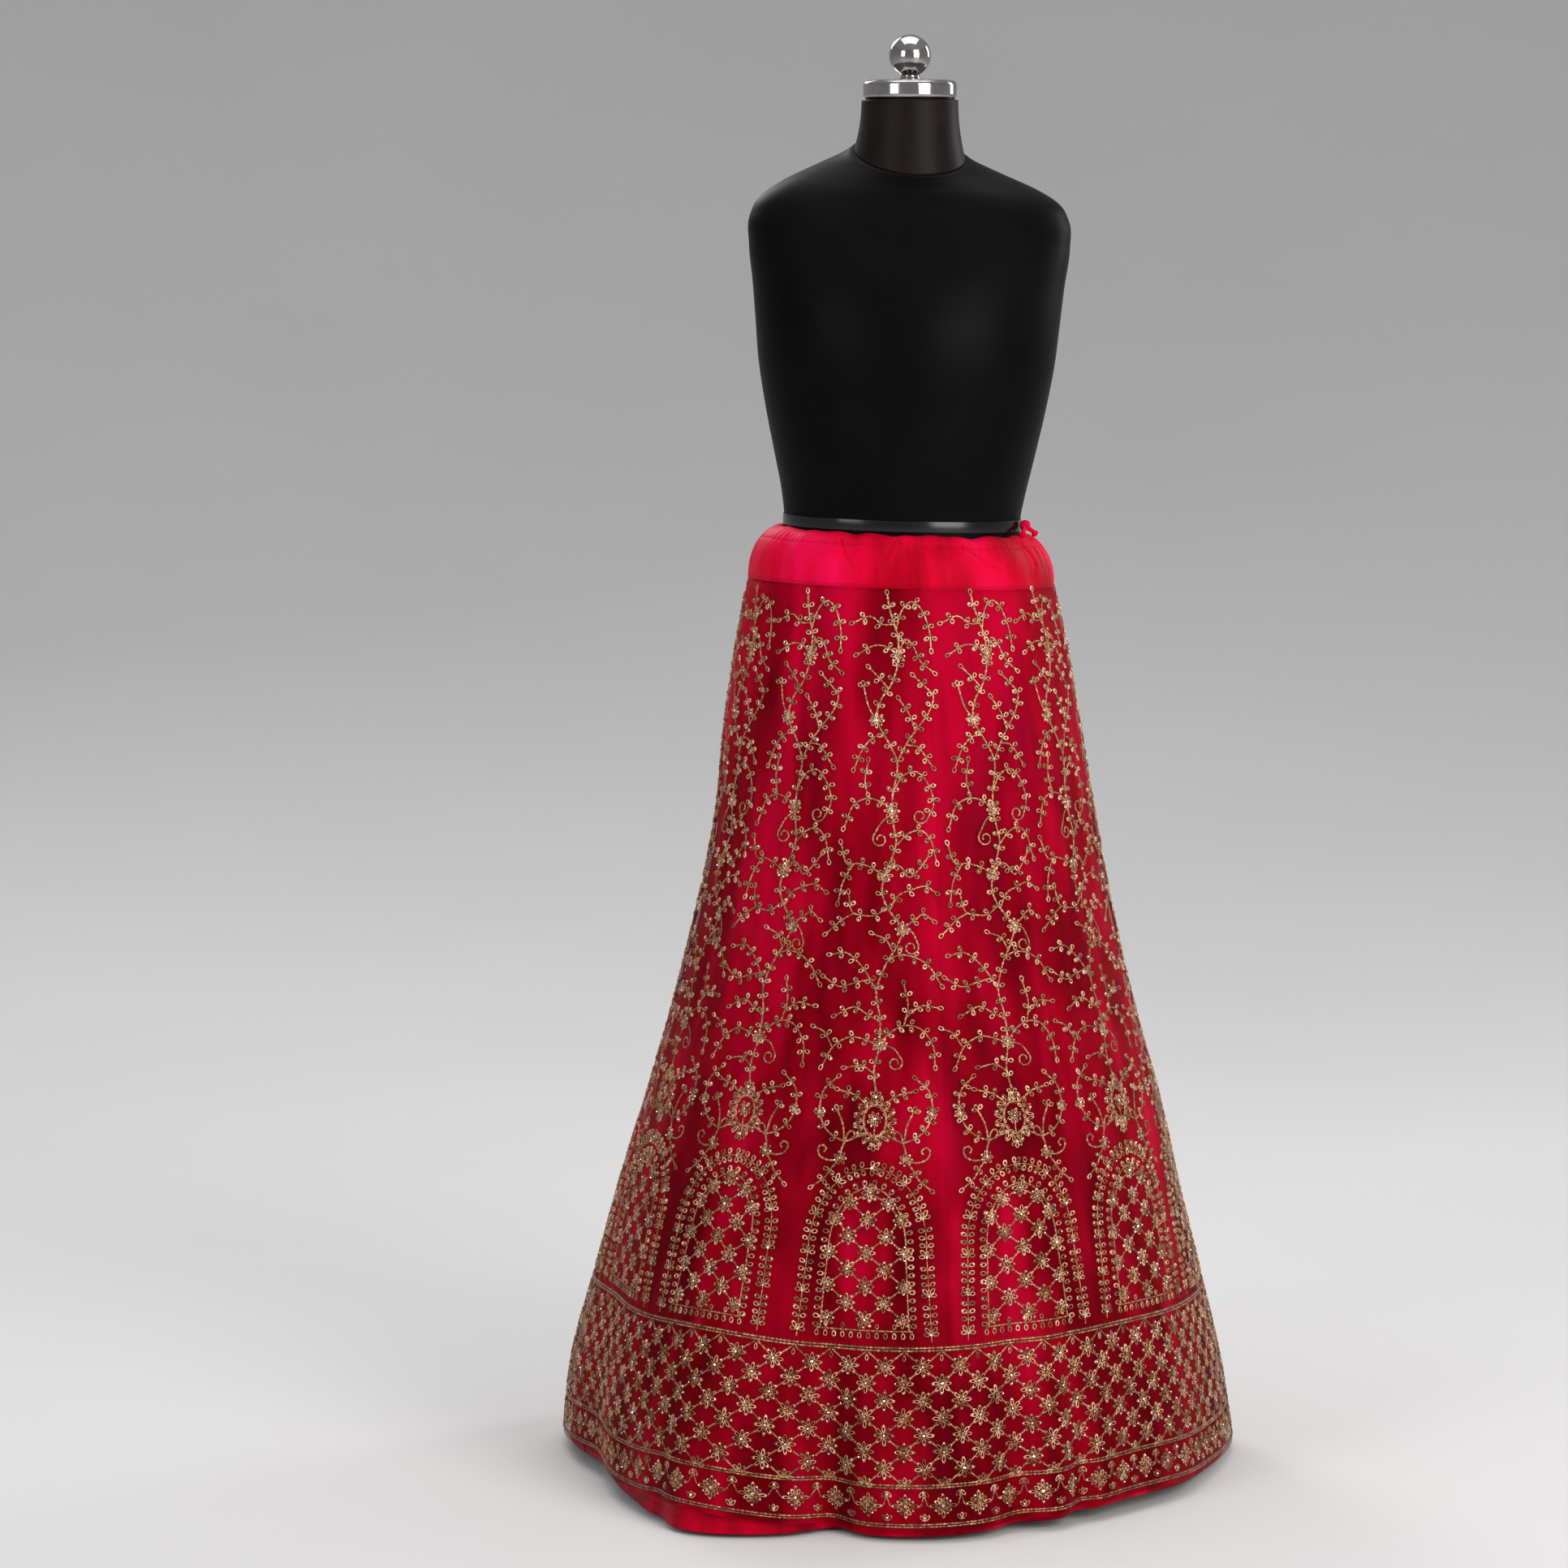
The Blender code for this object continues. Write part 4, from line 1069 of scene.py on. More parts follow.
hemBorder = {
    "motifs": 62, "leaves": 12, "halfWide": 0.0150, "halfTall": 0.0125, "ropeGap": 0.0028,
    # leaves and beads of a diamond, as shares of its reach
    "leafFrom": 0.30, "leafLength": 0.74, "leafWidth": 0.0042, "beadReach": 0.86,
    "innerTurn": 0.39, "innerFrom": 0.0006, "innerLength": 0.42, "innerWidth": 0.0030,
    "budTurns": (0.0, 0.62, -0.62), "budGap": 0.0010, "budBead": 0.0050,
    "threadWidth": 0.0014, "threadGap": 0.0006, "threadDrop": 0.0060, "threadTo": 0.96,
    # each rope's width as a share of the widest
    "ropes": {"ropeTop": 1.0, "ropeLow": 0.9, "ropeFoot": 0.85},
}


def addHemBorder():
    # leafy diamonds with buds in the gaps above and below, and the three ropes; a leaf of the
    # diamond at turn t reaches 1 / (|cos t| / a + |sin t| / b)
    layer = Embroidery("zariHemBorder")
    wide, tall, count = hemBorder["halfWide"], hemBorder["halfTall"], hemBorder["motifs"]
    step = 360.0 / count
    low = hemBand["ropeFoot"] + hemBorder["ropeGap"]
    high = hemBand["ropeLow"] - hemBorder["ropeGap"]
    middle = (low + high) / 2
    b = (np.arange(count) * step - 180.0)[:, None]
    turn = ringTurns(hemBorder["leaves"])[None]
    reach = 1 / (np.abs(np.cos(turn)) / wide + np.abs(np.sin(turn)) / tall)
    start, length = reach * hemBorder["leafFrom"], reach * hemBorder["leafLength"]
    layer.ray(b, middle, turn, start, length, hemBorder["leafWidth"])
    inner, length = turn[:, ::2] + hemBorder["innerTurn"], reach[:, ::2] * hemBorder["innerLength"]
    layer.ray(b, middle, inner, hemBorder["innerFrom"], length, hemBorder["innerWidth"])
    layer.beads(b, middle, turn, reach * hemBorder["beadReach"])
    layer.sequin(b, middle, "diamond")
    gaps = b + step / 2
    for v, up in ((high, -1), (low, 1)):
        for turn in hemBorder["budTurns"]:
            layer.ray(gaps, v + up * hemBorder["budGap"], up * math.pi / 2 + turn, *leaf["bud"])
        layer.sequin(gaps, v, "bud", 0.0, up * hemBorder["budBead"])
    for side in (1, -1):
        near = placeAcross(b, middle, (wide + hemBorder["threadGap"]) * side)
        far, top = b + side * step / 2, high - hemBorder["threadDrop"]
        layer.links(near, middle, far, top, 0.0, hemBorder["threadTo"], hemBorder["threadWidth"])
    for name, share in hemBorder["ropes"].items():
        layer.rope(hemBand[name], hemBand["ropeWidth"] * share)
    return layer


arch = {
    "springing": 0.282, "curveSteps": 160, "units": 10, "margin": 0.007, "rowPitch": 0.0086,
    # the two lines: half width, flare at the foot, rise above the springing, foot height
    "outer": (0.0610, 0.0085, 0.0830, 0.1955), "inner": (0.0400, 0.0060, 0.0640, 0.2060),
    "outerWidth": 0.0014, "innerWidth": 0.0020,
    "garlandBead": 0.0062, "innerBead": 0.0066, "innerStart": 0.003,
    # foot line: how far it passes the inner line, its points, its drops and their margin
    "footPast": 0.004, "footPoints": 40, "drops": 12, "dropMargin": 0.001,
    # flowers inside: steps, and how near the line they may stand; an edge flower sits on it
    "fillStep": 0.0195, "fillRow": 0.0163, "fillFirst": 0.2165, "fillRows": 9, "fillSide": 3,
    "fillTop": 0.005, "fillEdge": 0.012, "edgeGap": 0.0015, "joinFrom": 0.30, "joinTo": 0.70,
    # garland flowers: a petal's turn from the line, start, length, width
    "garland": inMetres([(0, 0.6, 6, 5), (0.66, 0.6, 9.8, 5), (-0.66, 0.6, 9.8, 5),
                         (1.46, 0.6, 7.8, 5), (-1.46, 0.6, 7.8, 5)], (0,)),
    # leaf pairs between two garland flowers, as shares of a unit, and their turn from the line
    "pairs": (0.33, 0.53, 0.73), "pairTurn": 1.26,
}


def archCurve(centre, half, flare, rise, foot):
    # straight sides that lean in, and a half ellipse above the springing line
    side = arch["curveSteps"] // 4
    up = np.linspace(0, 1, side, endpoint=False)
    turn = np.linspace(0, math.pi, arch["curveSteps"] - 2 * side)
    lean, high = half + flare * (1 - up), foot + (arch["springing"] - foot) * up
    v = np.concatenate([high, arch["springing"] + rise * np.sin(turn), high[::-1]])
    return placeAcross(centre, v, np.concatenate([-lean, -half * np.cos(turn), lean[::-1]])), v


def addArch(layer, centre):
    # garland: a flower at each unit, and three leaf pairs between; both point to the arch's top
    units = arch["units"]
    b, v = archCurve(centre, *arch["outer"])
    unit = (lengthOf(b, v) - 2 * arch["margin"]) / units
    steps = np.arange(units + 1)
    fb, fv, heading = readAlong(b, v, arch["margin"] + steps * unit)
    heading = heading + np.where(steps <= units / 2, 0.0, math.pi)
    for aside, *sizes in arch["garland"]:
        layer.ray(fb, fv, heading + aside, *sizes)
    layer.sequin(fb, fv, "garland")
    layer.stem(b, v, arch["outerWidth"])
    steps = (np.arange(units)[:, None] + np.array(arch["pairs"])).ravel()
    pb, pv, heading = readAlong(b, v, arch["margin"] + steps * unit)
    heading = heading + np.where(steps < units / 2, 0.0, math.pi)
    for side in (1, -1):
        turn = heading + side * arch["pairTurn"]
        layer.ray(pb, pv, turn, *leaf["garlandPair"])
        layer.beads(pb, pv, turn, arch["garlandBead"])
    # inner line, with a round leaf pointing out at each pitch
    half, flare, rise, foot = arch["inner"]
    b, v = archCurve(centre, half, flare, rise, foot)
    layer.stem(b, v, arch["innerWidth"])
    places = np.arange(arch["innerStart"], lengthOf(b, v), arch["rowPitch"])
    pb, pv, heading = readAlong(b, v, places)
    layer.ray(pb, pv, heading + math.pi / 2, *leaf["inner"])
    layer.beads(pb, pv, heading + math.pi / 2, arch["innerBead"])
    # foot line with drops
    half = half + flare + arch["footPast"]
    x = np.linspace(-half, half, arch["footPoints"])
    layer.stem(placeAcross(centre, foot, x), foot + 0 * x, arch["innerWidth"])
    half = half - arch["dropMargin"]
    spots = placeAcross(centre, foot, np.linspace(-half, half, arch["drops"]))
    layer.ray(spots, foot, -math.pi / 2, *leaf["drop"])
    layer.ray(spots[1:-1:2], foot, math.pi / 2, *leaf["foot"])
    fillArch(layer, centre)


def innerReach(v):
    # how far the inner line stands from the arch's middle at a height
    half, flare, rise, foot = arch["inner"]
    above = np.clip((v - arch["springing"]) / rise, 0.0, 1.0)
    below = np.clip((arch["springing"] - v) / (arch["springing"] - foot), 0.0, 1.0)
    return half * np.sqrt(1 - above**2) + flare * below


def fillArch(layer, centre):
    # staggered flowers and the diagonals that join them; the outermost sit on the inner line
    spots, side = {}, arch["fillSide"]
    for j in range(arch["fillRows"]):
        top = arch["springing"] + arch["inner"][2] - arch["fillTop"]
        v = min(arch["fillFirst"] + arch["fillRow"] * j, top)
        reach = float(innerReach(v))
        for i in range(-side, side + 1):
            x = arch["fillStep"] * i
            if (i + j) % 2 == 0 and abs(x) <= reach + arch["fillEdge"]:
                near = math.copysign(min(abs(x), reach - arch["edgeGap"]), x)
                spots[i, j] = (near, v, abs(x) > reach - arch["fillEdge"])
    x, v, isEdge = (np.array(c) for c in zip(*spots.values()))
    for kind, some in (("arch", ~isEdge), ("archEdge", isEdge)):
        layer.flower(placeAcross(centre, v[some], x[some]), v[some], kind)
    x0, v0, x1, v1 = np.array([
        (*spots[i, j][:2], *spots[i + way, j + 1][:2])
        for i, j in spots for way in (1, -1) if (i + way, j + 1) in spots
    ]).T
    b0, b1 = placeAcross(centre, v0, x0), placeAcross(centre, v1, x1)
    layer.links(b0, v0, b1, v1, arch["joinFrom"], arch["joinTo"], arch["innerWidth"])


medallion = {
    "height": 0.4120, "halfWide": 0.0122, "halfTall": 0.0168, "pairs": 15,
    "ringWidth": 0.0022, "ringInset": 0.0004, "ringPoints": 70,
    "wreathTurn": 0.42, "wreathBead": 0.008, "wreathFootTurn": 1.9,
    "stalk": (-0.0030, -0.0140, 6), "stalkWidth": 0.0018,
    "crestHeight": 0.0245, "crestTurns": (0.0, 0.85, -0.85), "flowerTurn": 0.3, "flowerRise": 0.0018,
    # sprays beside it, in mm from its centre and mirrored: leaf spacing or 0, whether a leaf
    # stands at the tip, and the points' x, y, ...
    "sprays": [
        (0, 0, 13, -14, 22, -19, 30, -22),
        (14, 1, 30, -22, 41, -18, 52, -9, 58, 5, 58, 18, 54, 31, 42, 42),
        (0, 1, 31, -20, 33, -5, 39, 9),
        (0, 0, 30, -21, 27, -13, 22, -11, 20, -16, 23, -18),
        (0, 0, 30, -22, 33, -30, 34, -38),
        (0, 0, 36, -41, 47, -42, 56, -38, 58, -30, 53, -27, 49, -31, 52, -34),
        (15, 1, 36, -42, 43, -51, 49, -60, 60, -69),
        (13, 1, 11, 18, 22, 26, 37, 30),
    ],
    "flowers": (("spray", 0.034, -0.039), ("smallSpray", 0.058, 0.007)),
    "stretch": 1.03,
}


def addMedallion(layer, centre):
    # an oval wreath of leaf pairs round a flower, with mirrored sprays
    v0, wide, tall = medallion["height"], medallion["halfWide"], medallion["halfTall"]
    around = ringTurns(medallion["pairs"]) + math.pi / medallion["pairs"]
    x, y = wide * np.cos(around), tall * np.sin(around)
    for way in (1, -1):
        turn, bead = around + way * medallion["wreathTurn"], medallion["wreathBead"]
        layer.ray(centre, v0, turn, *leaf["wreath"], x, y)
        layer.sequin(centre, v0, "wreathBead", x + bead * np.cos(turn), y + bead * np.sin(turn))
    layer.ray(centre, v0, around + medallion["wreathFootTurn"], *leaf["wreathFoot"], x, y)
    for way in (1, -1):
        high = way * medallion["crestHeight"]
        for turn in medallion["crestTurns"]:
            layer.ray(centre, v0, way * (math.pi / 2 + turn), *leaf["crest"], 0.0, high)
        layer.sequin(centre, v0, "crest", 0.0, high)
    ring, inset = np.linspace(0, 2 * math.pi, medallion["ringPoints"]), medallion["ringInset"]
    v = v0 + (tall - inset) * np.sin(ring)
    layer.stem(placeAcross(centre, v, (wide - inset) * np.cos(ring)), v, medallion["ringWidth"])
    layer.flower(centre, v0, "medallion", medallion["flowerTurn"], 0.0, medallion["flowerRise"])
    v = v0 + np.linspace(*medallion["stalk"])
    layer.stem(centre + 0 * v, v, medallion["stalkWidth"])
    for side in (1, -1):
        for spacing, hasTip, *points in medallion["sprays"]:
            path = smoothPath(np.reshape(points, (-1, 2)) / 1000, 60)
            v = v0 + path[:, 1] / medallion["stretch"]
            b = placeAcross(centre, v, path[:, 0] * side)
            layer.stem(b, v, medallion["ringWidth"])
            if spacing:
                layer.pairs(b, v, spacing / 1000, 0.75, hasTip)
            elif hasTip:
                layer.pairs(b[-2:], v[-2:], 0.010, 0.5)
        for kind, x, y in medallion["flowers"]:
            v = v0 + y / medallion["stretch"]
            layer.flower(placeAcross(centre, v, side * x), v, kind)


# The climbing vine of each panel. Places are x, v, ... in thousandths of half a panel and in mm.
vine = {
    "main": (
        0, 441, -40, 462, 30, 488, 20, 515, -50, 540, 80, 566, 260, 585, 360, 603, 220, 614, 80,
        625, -30, 640, -20, 657, 60, 674, 100, 690, 20, 706, -40, 722, -20, 740, 60, 757, 80, 773,
        -60, 790, -300, 814, -220, 834, -40, 848, 80, 864, 120, 880, 120, 898, 40, 914, -40, 928,
        -80, 941,
    ),
    "flowers": (
        30, 488, 360, 603, -20, 657, -40, 722, -300, 814, 120, 880,
    ),
    # branches: whether they bear leaves, the way they curl at the end or 0, and their places
    "branches": [
        (1, 0, 80, 906, 200, 926, 400, 935, 600, 926, 720, 906, 740, 888),
        (1, 0, 40, 912, -180, 912, -420, 920, -720, 914),
        (1, 0, 120, 882, 260, 897, 400, 890, 540, 874, 760, 864),
        (1, 0, 110, 880, -100, 889, -340, 890, -620, 882),
        (1, 0, -60, 846, -220, 856, -400, 866),
        (0, 0, -300, 814, -460, 828, -540, 848),
        (1, 0, 80, 771, 280, 790, 500, 806, 720, 822, 800, 838, 640, 848, 440, 858),
        (1, 0, 460, 803, 340, 820, 160, 834),
        (1, 0, -140, 798, -380, 796, -600, 784, -760, 766),
        (1, 0, 280, 789, 520, 786, 760, 768),
        (1, -1, -10, 742, 180, 757, 440, 762, 660, 750, 760, 730, 640, 713),
        (1, 0, -40, 722, -260, 731, -540, 734, -800, 726, -920, 706),
        (1, 0, -500, 734, -560, 752, -500, 770),
        (0, 1, -50, 718, -220, 710, -340, 697),
        (1, 0, 100, 686, 300, 699, 540, 702, 740, 692, 880, 672),
        (1, 0, -20, 657, 140, 667, 280, 664, 420, 655, 580, 663, 720, 675),
        (1, 0, -40, 657, -280, 664, -540, 668, -760, 668, -920, 686),
        (1, 0, -620, 668, -760, 650, -800, 630),
        (1, 0, 120, 621, 260, 636, 460, 642, 720, 646, 900, 640),
        (1, 0, 360, 604, 560, 612, 720, 618, 860, 612),
        (0, -1, 360, 603, 520, 600, 620, 588),
        (1, 0, 80, 624, -140, 616, -360, 616, -540, 620, -620, 636),
        (1, 0, -500, 618, -720, 610, -940, 598),
        (1, 0, 120, 572, 340, 577, 600, 574, 820, 564, 980, 548),
        (1, 0, 200, 580, 80, 592, -120, 597),
        (1, 0, -40, 538, -180, 554, -360, 568, -580, 578, -820, 576),
        (1, 0, -160, 552, -420, 548, -660, 544, -900, 552),
        (1, 0, 30, 510, -180, 517, -400, 524, -660, 516),
        (1, 0, 30, 488, 200, 500, 440, 507, 680, 502, 840, 486, 860, 468),
        (0, -1, 30, 487, 240, 484, 360, 474),
        (1, 0, 400, 507, 460, 526, 400, 546),
        (1, 0, 430, 515, 660, 526, 920, 524),
        (1, 0, 20, 486, -200, 492, -440, 494, -680, 484, -820, 466),
        (1, 0, -30, 458, -220, 466, -440, 464),
        (1, 0, -700, 484, -840, 498, -980, 502),
    ],
    "lean": 0.20, "leanFrom": 0.62, "leanOver": 0.12, "spread": 0.16, "spreadFrom": 0.78,
    "spacing": 0.0146, "mainWidth": 0.0023, "branchWidth": 0.0019,
    "curlRadius": 0.0080, "curlShrink": 0.62, "curlTurns": 1.15, "curlSteps": 44,
}


def curled(b, v, way):
    # carries a curve on into a spiral whose radius shrinks over a little more than one turn
    radius, turns = vine["curlRadius"], vine["curlTurns"]
    here = readNet(b[-1], v[-1])
    heading = math.atan2((v[-1] - v[-3]) * here[7], (b[-1] - b[-3]) * here[6])
    t = np.linspace(0, 1, vine["curlSteps"])
    start = heading - way * math.pi / 2
    r, spin = radius * (1 - vine["curlShrink"] * t), start + way * t * turns * 2 * math.pi
    x, y = r * np.cos(spin) - radius * math.cos(start), r * np.sin(spin) - radius * math.sin(start)
    return np.append(b, b[-1] + x[1:] / here[6]), np.append(v, v[-1] + y[1:] / here[7])


def vineCurve(centre, places, count):
    # a curve through places of the panel, which leans and spreads towards the waist
    x, v = smoothPath(np.reshape(places, (-1, 2)) / 1000, count).T
    lean = vine["lean"] * easeStep((v - vine["leanFrom"]) / vine["leanOver"])
    spread = 1.0 + vine["spread"] * easeStep((v - vine["spreadFrom"]) / vine["leanOver"])
    return centre + 0.5 * skirt["kaliDegrees"] * (x * spread + lean), v


def addVine(layer, centre):
    b, v = vineCurve(centre, vine["main"], 420)
    layer.stem(b, v, vine["mainWidth"])
    layer.pairs(b, v, vine["spacing"] * 1.08, 0.8)
    for spot in np.reshape(vine["flowers"], (-1, 2)):
        b, v = vineCurve(centre, [*spot, *spot], 2)
        layer.flower(b[:1], v[:1], "vine")
    for hasLeaves, curl, *places in vine["branches"]:
        b, v = vineCurve(centre, places, 80)
        if hasLeaves:
            layer.pairs(b, v, vine["spacing"], 0.85, not curl)
        elif not curl:
            layer.pairs(b[-4:], v[-4:], 0.010, 0.5)
        if curl:
            b, v = curled(b, v, curl)
        layer.stem(b, v, vine["branchWidth"])


def addEmbroidery():
    fillNetTable()
    names = ("ArchesFront", "ArchesBack", "VinesFront", "VinesBack", "Medallions")
    layers = {"HemLattice": addHemBand(), "HemBorder": addHemBorder()}
    layers.update({name: Embroidery("zari" + name) for name in names})
    for k in range(skirt["kaliCount"]):
        centre = skirt["firstSeam"] + skirt["kaliDegrees"] * (k - 0.5)
        side = "Front" if abs(apart(centre, 0.0)) < 90 else "Back"
        addArch(layers["Arches" + side], centre)
        addVine(layers["Vines" + side], centre)
        addMedallion(layers["Medallions"], centre)
    for layer in layers.values():
        layer.make()
    sequinPiece("sequinScatter", layers.values())


addEmbroidery()
print("embroidery made")


# The drawstring
drawstring = {
    "angle": 76.0, "height": 1.0110, "knotRadius": 0.0062, "cordRadius": 0.0029,
    # the knot's loop of cord, and how far its two turns differ outwards, upwards and aside
    "loop": 0.0031, "loopCord": 0.0023, "wider": 0.16, "higher": 0.0007, "aside": 0.0013,
    "loopSteps": 160, "loopSides": 12, "endSteps": 24, "endSides": 14, "arc": 0.0012,
    # each end: its node, degrees away, stand-off, and height from the knot
    "ends": {"drawstringEndFront": ("drawstring_end_front", -9.0, 0.0125, -0.0100),
             "drawstringEndSide": ("drawstring_end_side", 5.0, 0.0185, -0.0105)},
}


def addKnot(centre):
    # a round loop of cord that is wound twice, its second turn lower and further out
    turn, loop = math.radians(drawstring["angle"]), drawstring["loop"]
    t = np.linspace(0, 4 * math.pi, drawstring["loopSteps"], endpoint=False)
    wind = np.cos(t / 2)
    x = loop * np.sin(t) * (1.0 + drawstring["wider"] * wind)
    y = loop * np.cos(t) + drawstring["higher"] * wind
    z = drawstring["aside"] * wind
    right, out = (math.cos(turn), math.sin(turn), 0.0), (math.sin(turn), -math.cos(turn), 0.0)
    line = centre + np.stack([x, y, z], axis=-1) @ np.array([out, (0.0, 0.0, 1.0), right])
    line = np.concatenate([line, line[:1]])
    radii = np.full(len(line), drawstring["loopCord"])
    knot = tubeObject("drawstringKnot", line, radii, drawstring["loopSides"], satin)
    placed(knot, "satin", "drawstring_knot")


def addDrawstring():
    standOff = 2 * form["seamGap"] + form["ringWall"] + drawstring["knotRadius"]
    place = np.array([drawstring["angle"], drawstring["height"]])
    centre = offForm(*place, standOff)
    addKnot(centre)
    s = np.linspace(0, 1, drawstring["endSteps"])
    # a ribbed cord with a tassel, whose radius is a sine's ripple and a bell near the end
    radius = 0.78 + 0.10 * np.sin(s * 40) * (s < 0.7) + 0.62 * bell(s - 0.84, 0.13)
    radius[-1] *= 0.55
    for name, (nodeName, away, reach, drop) in drawstring["ends"].items():
        far = offForm(*(place + (away, drop)), reach)
        toward = (far - centre) / np.linalg.norm(far - centre)
        near = centre + toward * (drawstring["knotRadius"] - 0.001)
        line = near + (far - near) * s[:, None]
        line[:, 2] += drawstring["arc"] * np.sin(s * math.pi)
        radii = drawstring["cordRadius"] * radius
        placed(tubeObject(name, line, radii, drawstring["endSides"], satin), "satin", nodeName)


addDrawstring()
print("drawstring made")


# The dress form

def addTorso():
    # rows stand closer over the shoulders
    high, low = form["sections"][-1][0], form["sections"][0][0]
    angle = np.arange(form["torsoSides"])[None] * 360.0 / form["torsoSides"]
    z = np.concatenate([
        np.linspace(high, form["shoulder"], form["shoulderRows"], endpoint=False),
        np.linspace(form["shoulder"], low, form["bodyRows"]),
    ])[:, None]
    grid = offForm(angle + 0 * z, z + 0 * angle, 0.0)
    placed(cappedObject("formTorso", grid, coverBlack), "form_black", "form_torso")


def addWaistRing():
    # its outer face is upright, so it is thinner at the top, where the form is wider
    angle = np.arange(form["ringSides"]) * 360.0 / form["ringSides"]
    low, high, bevel = form["ringLow"], form["ringHigh"], form["ringBevel"]
    wall, topWall = form["ringWall"], form["ringTopWall"]
    rows = [
        (high, 0.0), (high, topWall - bevel), (high - 0.4 * bevel, topWall - 0.15 * bevel),
        (high - bevel, topWall), (low + bevel, wall), (low + 0.4 * bevel, wall - 0.15 * bevel),
        (low, wall - bevel), (low, 0.0), (high, 0.0),
    ]
    grid = np.stack([offForm(angle, z + 0 * angle, form["seamGap"] + out) for z, out in rows])
    piece = meshObject(
        "formWaistRing", grid, [gridFaces(len(rows), len(angle), isTube=True)], glossBlack)
    piece.data.set_sharp_from_angle(angle=math.radians(form["ringEdge"]))
    placed(piece, "gloss_black", "form_waist_ring")


def addNeck():
    # the section runs from the collar's oval to the cap's circle as (1 - share)^2
    height, wide, deep = form["sections"][-1][:3]
    tilt, roll = form["sections"][-1][5:]
    share = np.linspace(1, 0, form["neckRows"])[:, None]
    turn = np.radians(np.arange(form["neckSides"]) * 360.0 / form["neckSides"])
    flare, radius = (1 - share) ** 2, form["neckTopRadius"]
    x = (radius + (wide - 0.0015 - radius) * flare) * np.sin(turn)
    y = -(radius - 0.001 + (deep - radius) * flare) * np.cos(turn)
    low = height + form["seamGap"]
    slant = roll * x / wide - tilt * y / deep
    z = low + (form["neckTop"] - low) * share - slant * (1 - share)
    neck = cappedObject("formNeck", np.stack([x, y, z], axis=-1), neckBlack)
    placed(neck, "neck_black", "form_neck")


def addCapAndFinial():
    # a rounded chrome cap, and a ball on a small collar
    low, wide = form["neckTop"] + form["seamGap"], form["capRadius"]
    top = low + form["capHeight"]
    profile = roundedProfile([
        (0.0, low, 0), (wide - 0.0030, low, 0.0006), (wide, low + 0.0034, 0.0024),
        (wide, top - 0.0032, 0.0028), (wide - 0.0040, top, 0.0028), (0.0, top, 0),
    ])
    cap = turnedObject("formNeckCap", profile[1:-1], form["capSides"], chrome)
    placed(cap, "chrome", "form_neck_cap")
    low = top + form["seamGap"]
    top, wide, ball = low + form["collarHeight"], form["collarRadius"], form["finialRadius"]
    neck, bevel = wide - form["collarBevel"], form["collarBevel"]
    rise = math.sqrt(ball**2 - wide**2)
    lift = np.linspace(-math.asin(rise / ball), math.pi / 2, form["finialRows"], endpoint=False)
    profile = np.concatenate([
        [(wide, low), (wide, low + 0.001), (neck, low + 0.003), (neck, top - bevel)],
        np.stack([ball * np.cos(lift), top + rise + ball * np.sin(lift)], axis=-1),
    ])
    finial = turnedObject("formFinial", profile, form["finialSides"], chrome)
    placed(finial, "chrome", "form_finial")


addTorso()
addWaistRing()
addNeck()
addCapAndFinial()
print("form made")


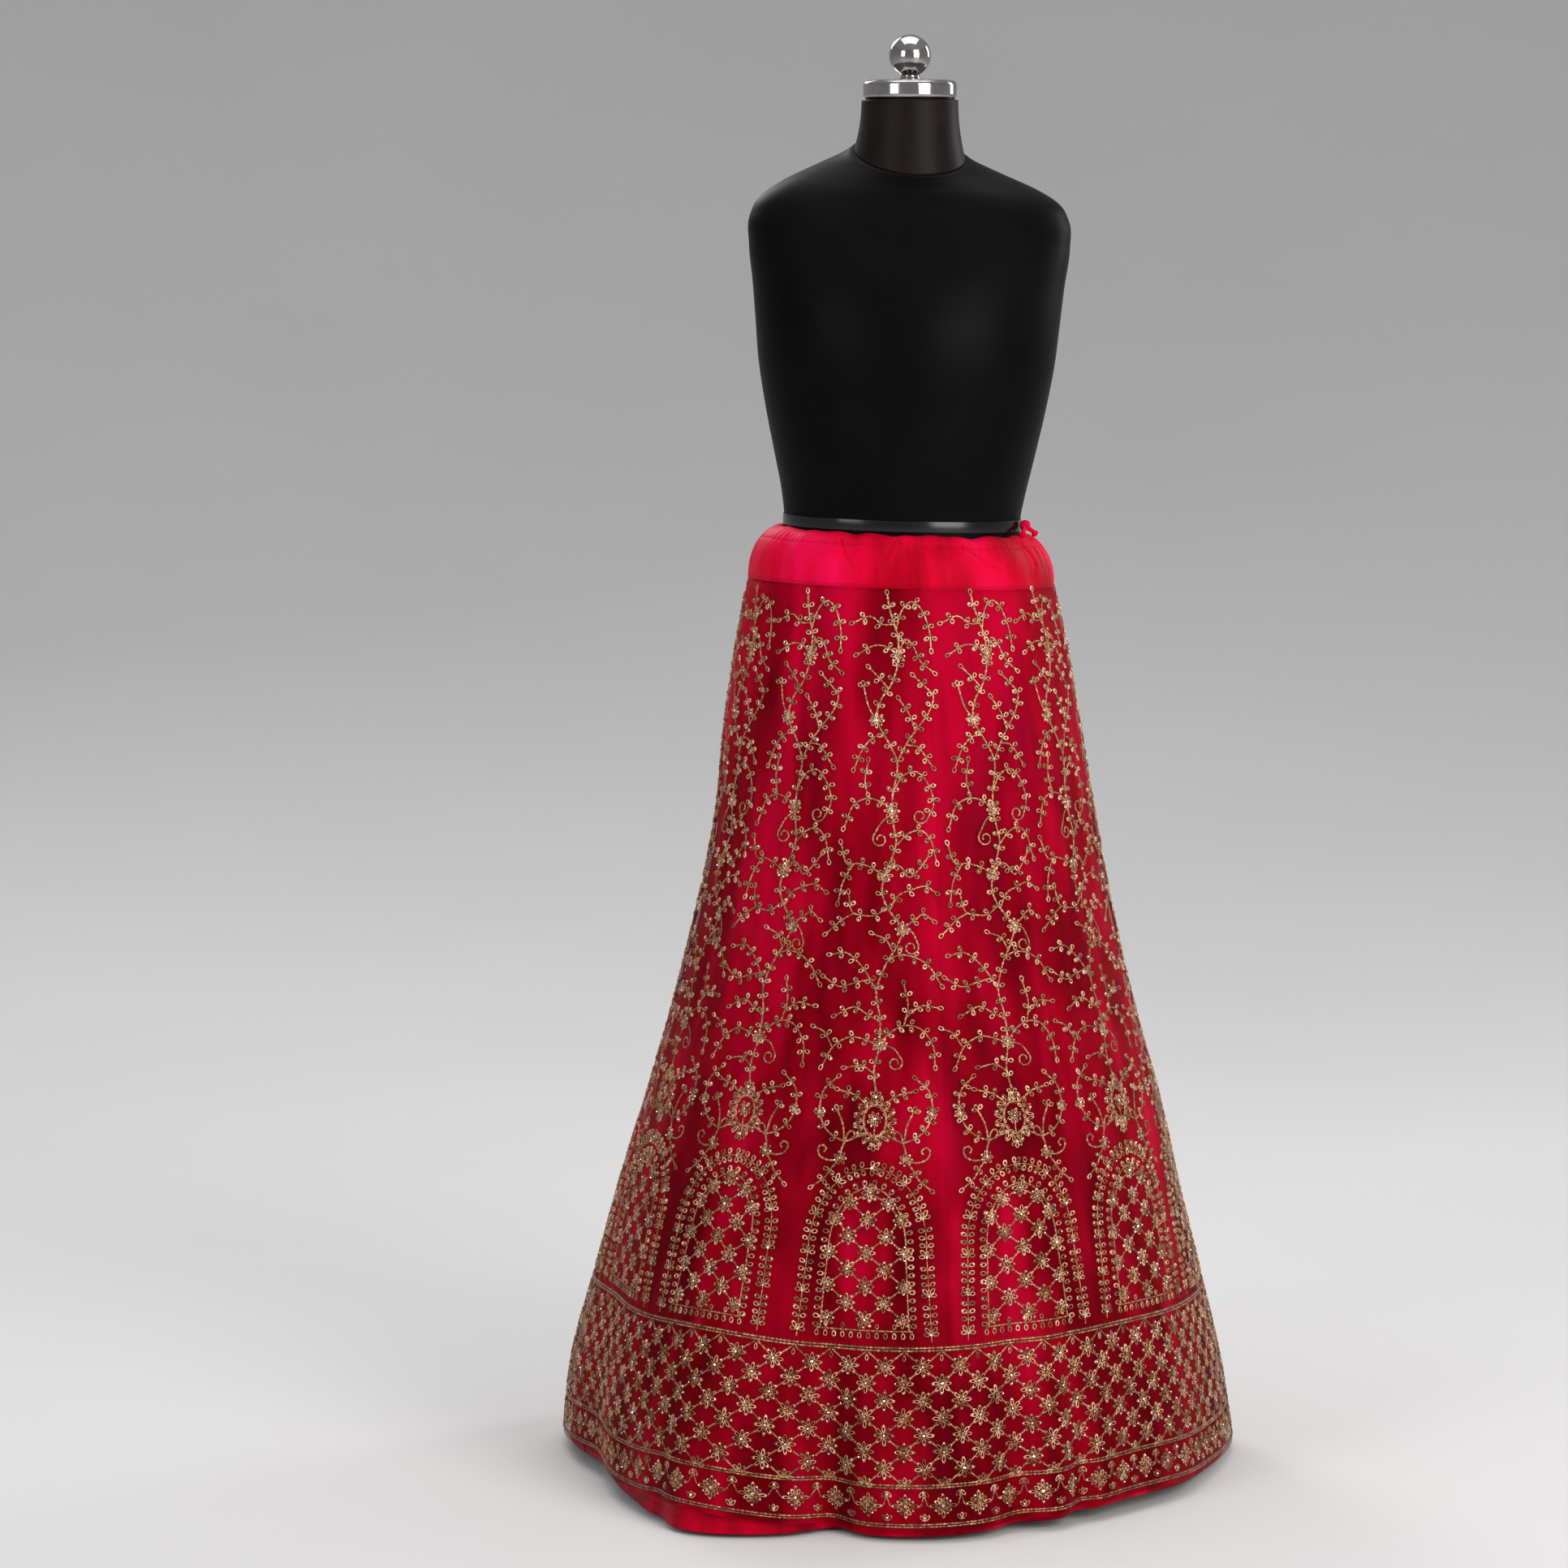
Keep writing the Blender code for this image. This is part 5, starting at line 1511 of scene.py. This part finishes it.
# Floor, lights and camera
stage = {
    "worldColor": (0.90, 0.92, 0.96, 1.0), "worldStrength": 0.46,
    "flatRadius": 2.6, "wallRadius": 9.5, "wallHeight": 7.0, "rows": 40, "sideDegrees": 3.75,
    # name, place, target height, size, power, colour
    "lamps": [
        ("keyBox", (2.3, -3.3, 2.03), 0.95, (2.0, 2.9), 126.0, (1.0, 0.98, 0.96)),
        ("fillBox", (-2.7, -3.2, 2.15), 0.8, (1.5, 2.2), 46.0, (0.95, 0.965, 1.0)),
        ("topBox", (0.0, 0.4, 4.6), 0.0, (3.4, 3.4), 90.0, (1.0, 0.99, 0.98)),
        ("backBox", (-1.8, 3.4, 3.2), 1.6, (1.6, 1.6), 46.0, (1.0, 0.97, 0.94)),
        ("rimBox", (2.9, 1.9, 2.2), 0.9, (0.8, 1.8), 28.0, (0.95, 0.97, 1.0)),
    ],
    "camera": (-0.132, -5.5, 1.35), "lens": 119.4, "sensor": 36.0, "clipEnd": 60.0, "tilt": 83.58,
}


def addFloor():
    # a round floor whose rim curves up all round: height goes as 1 - cosine of the share outwards
    share = np.linspace(0, 1, stage["rows"])[:, None]
    rise = share[1:] * math.pi / 2
    turn = np.radians(np.arange(0, 361, stage["sideDegrees"]))
    flat, wall = stage["flatRadius"], stage["wallRadius"]
    radius = np.concatenate([flat * share, flat + (wall - flat) * np.sin(rise)])
    height = np.concatenate([0 * share, stage["wallHeight"] * (1 - np.cos(rise))])
    grid = np.stack([radius * np.sin(turn), -radius * np.cos(turn), height + 0 * turn], axis=-1)
    floor = meshObject("paperFloor", grid, [gridFaces(*grid.shape[:2], flip=True)], paper)


def inScene(made, place):
    made.location = place
    bpy.context.scene.collection.objects.link(made)
    return made


def addLights():
    world = bpy.data.worlds.new("softRoom")
    world.use_nodes = True
    background = world.node_tree.nodes["Background"]
    background.inputs["Color"].default_value = stage["worldColor"]
    background.inputs["Strength"].default_value = stage["worldStrength"]
    bpy.context.scene.world = world
    for name, place, aim, size, power, color in stage["lamps"]:
        lamp = bpy.data.lights.new(name, "AREA")
        lamp.shape = "RECTANGLE"
        lamp.size, lamp.size_y = size
        lamp.energy = power
        lamp.color = color
        made = inScene(bpy.data.objects.new(name, lamp), place)
        toward = Vector((0.0, 0.0, aim)) - Vector(place)
        made.rotation_euler = toward.to_track_quat("-Z", "Y").to_euler()
        made.visible_camera = False


def addCamera():
    lens = bpy.data.cameras.new("studioCamera")
    lens.lens = stage["lens"]
    lens.sensor_width = stage["sensor"]
    lens.clip_end = stage["clipEnd"]
    made = inScene(bpy.data.objects.new("studioCamera", lens), stage["camera"])
    made.rotation_euler = (math.radians(stage["tilt"]), 0.0, 0.0)
    bpy.context.scene.camera = made
    bpy.context.scene.view_settings.view_transform = "Standard"


addFloor()
addLights()
addCamera()
print("stage made")
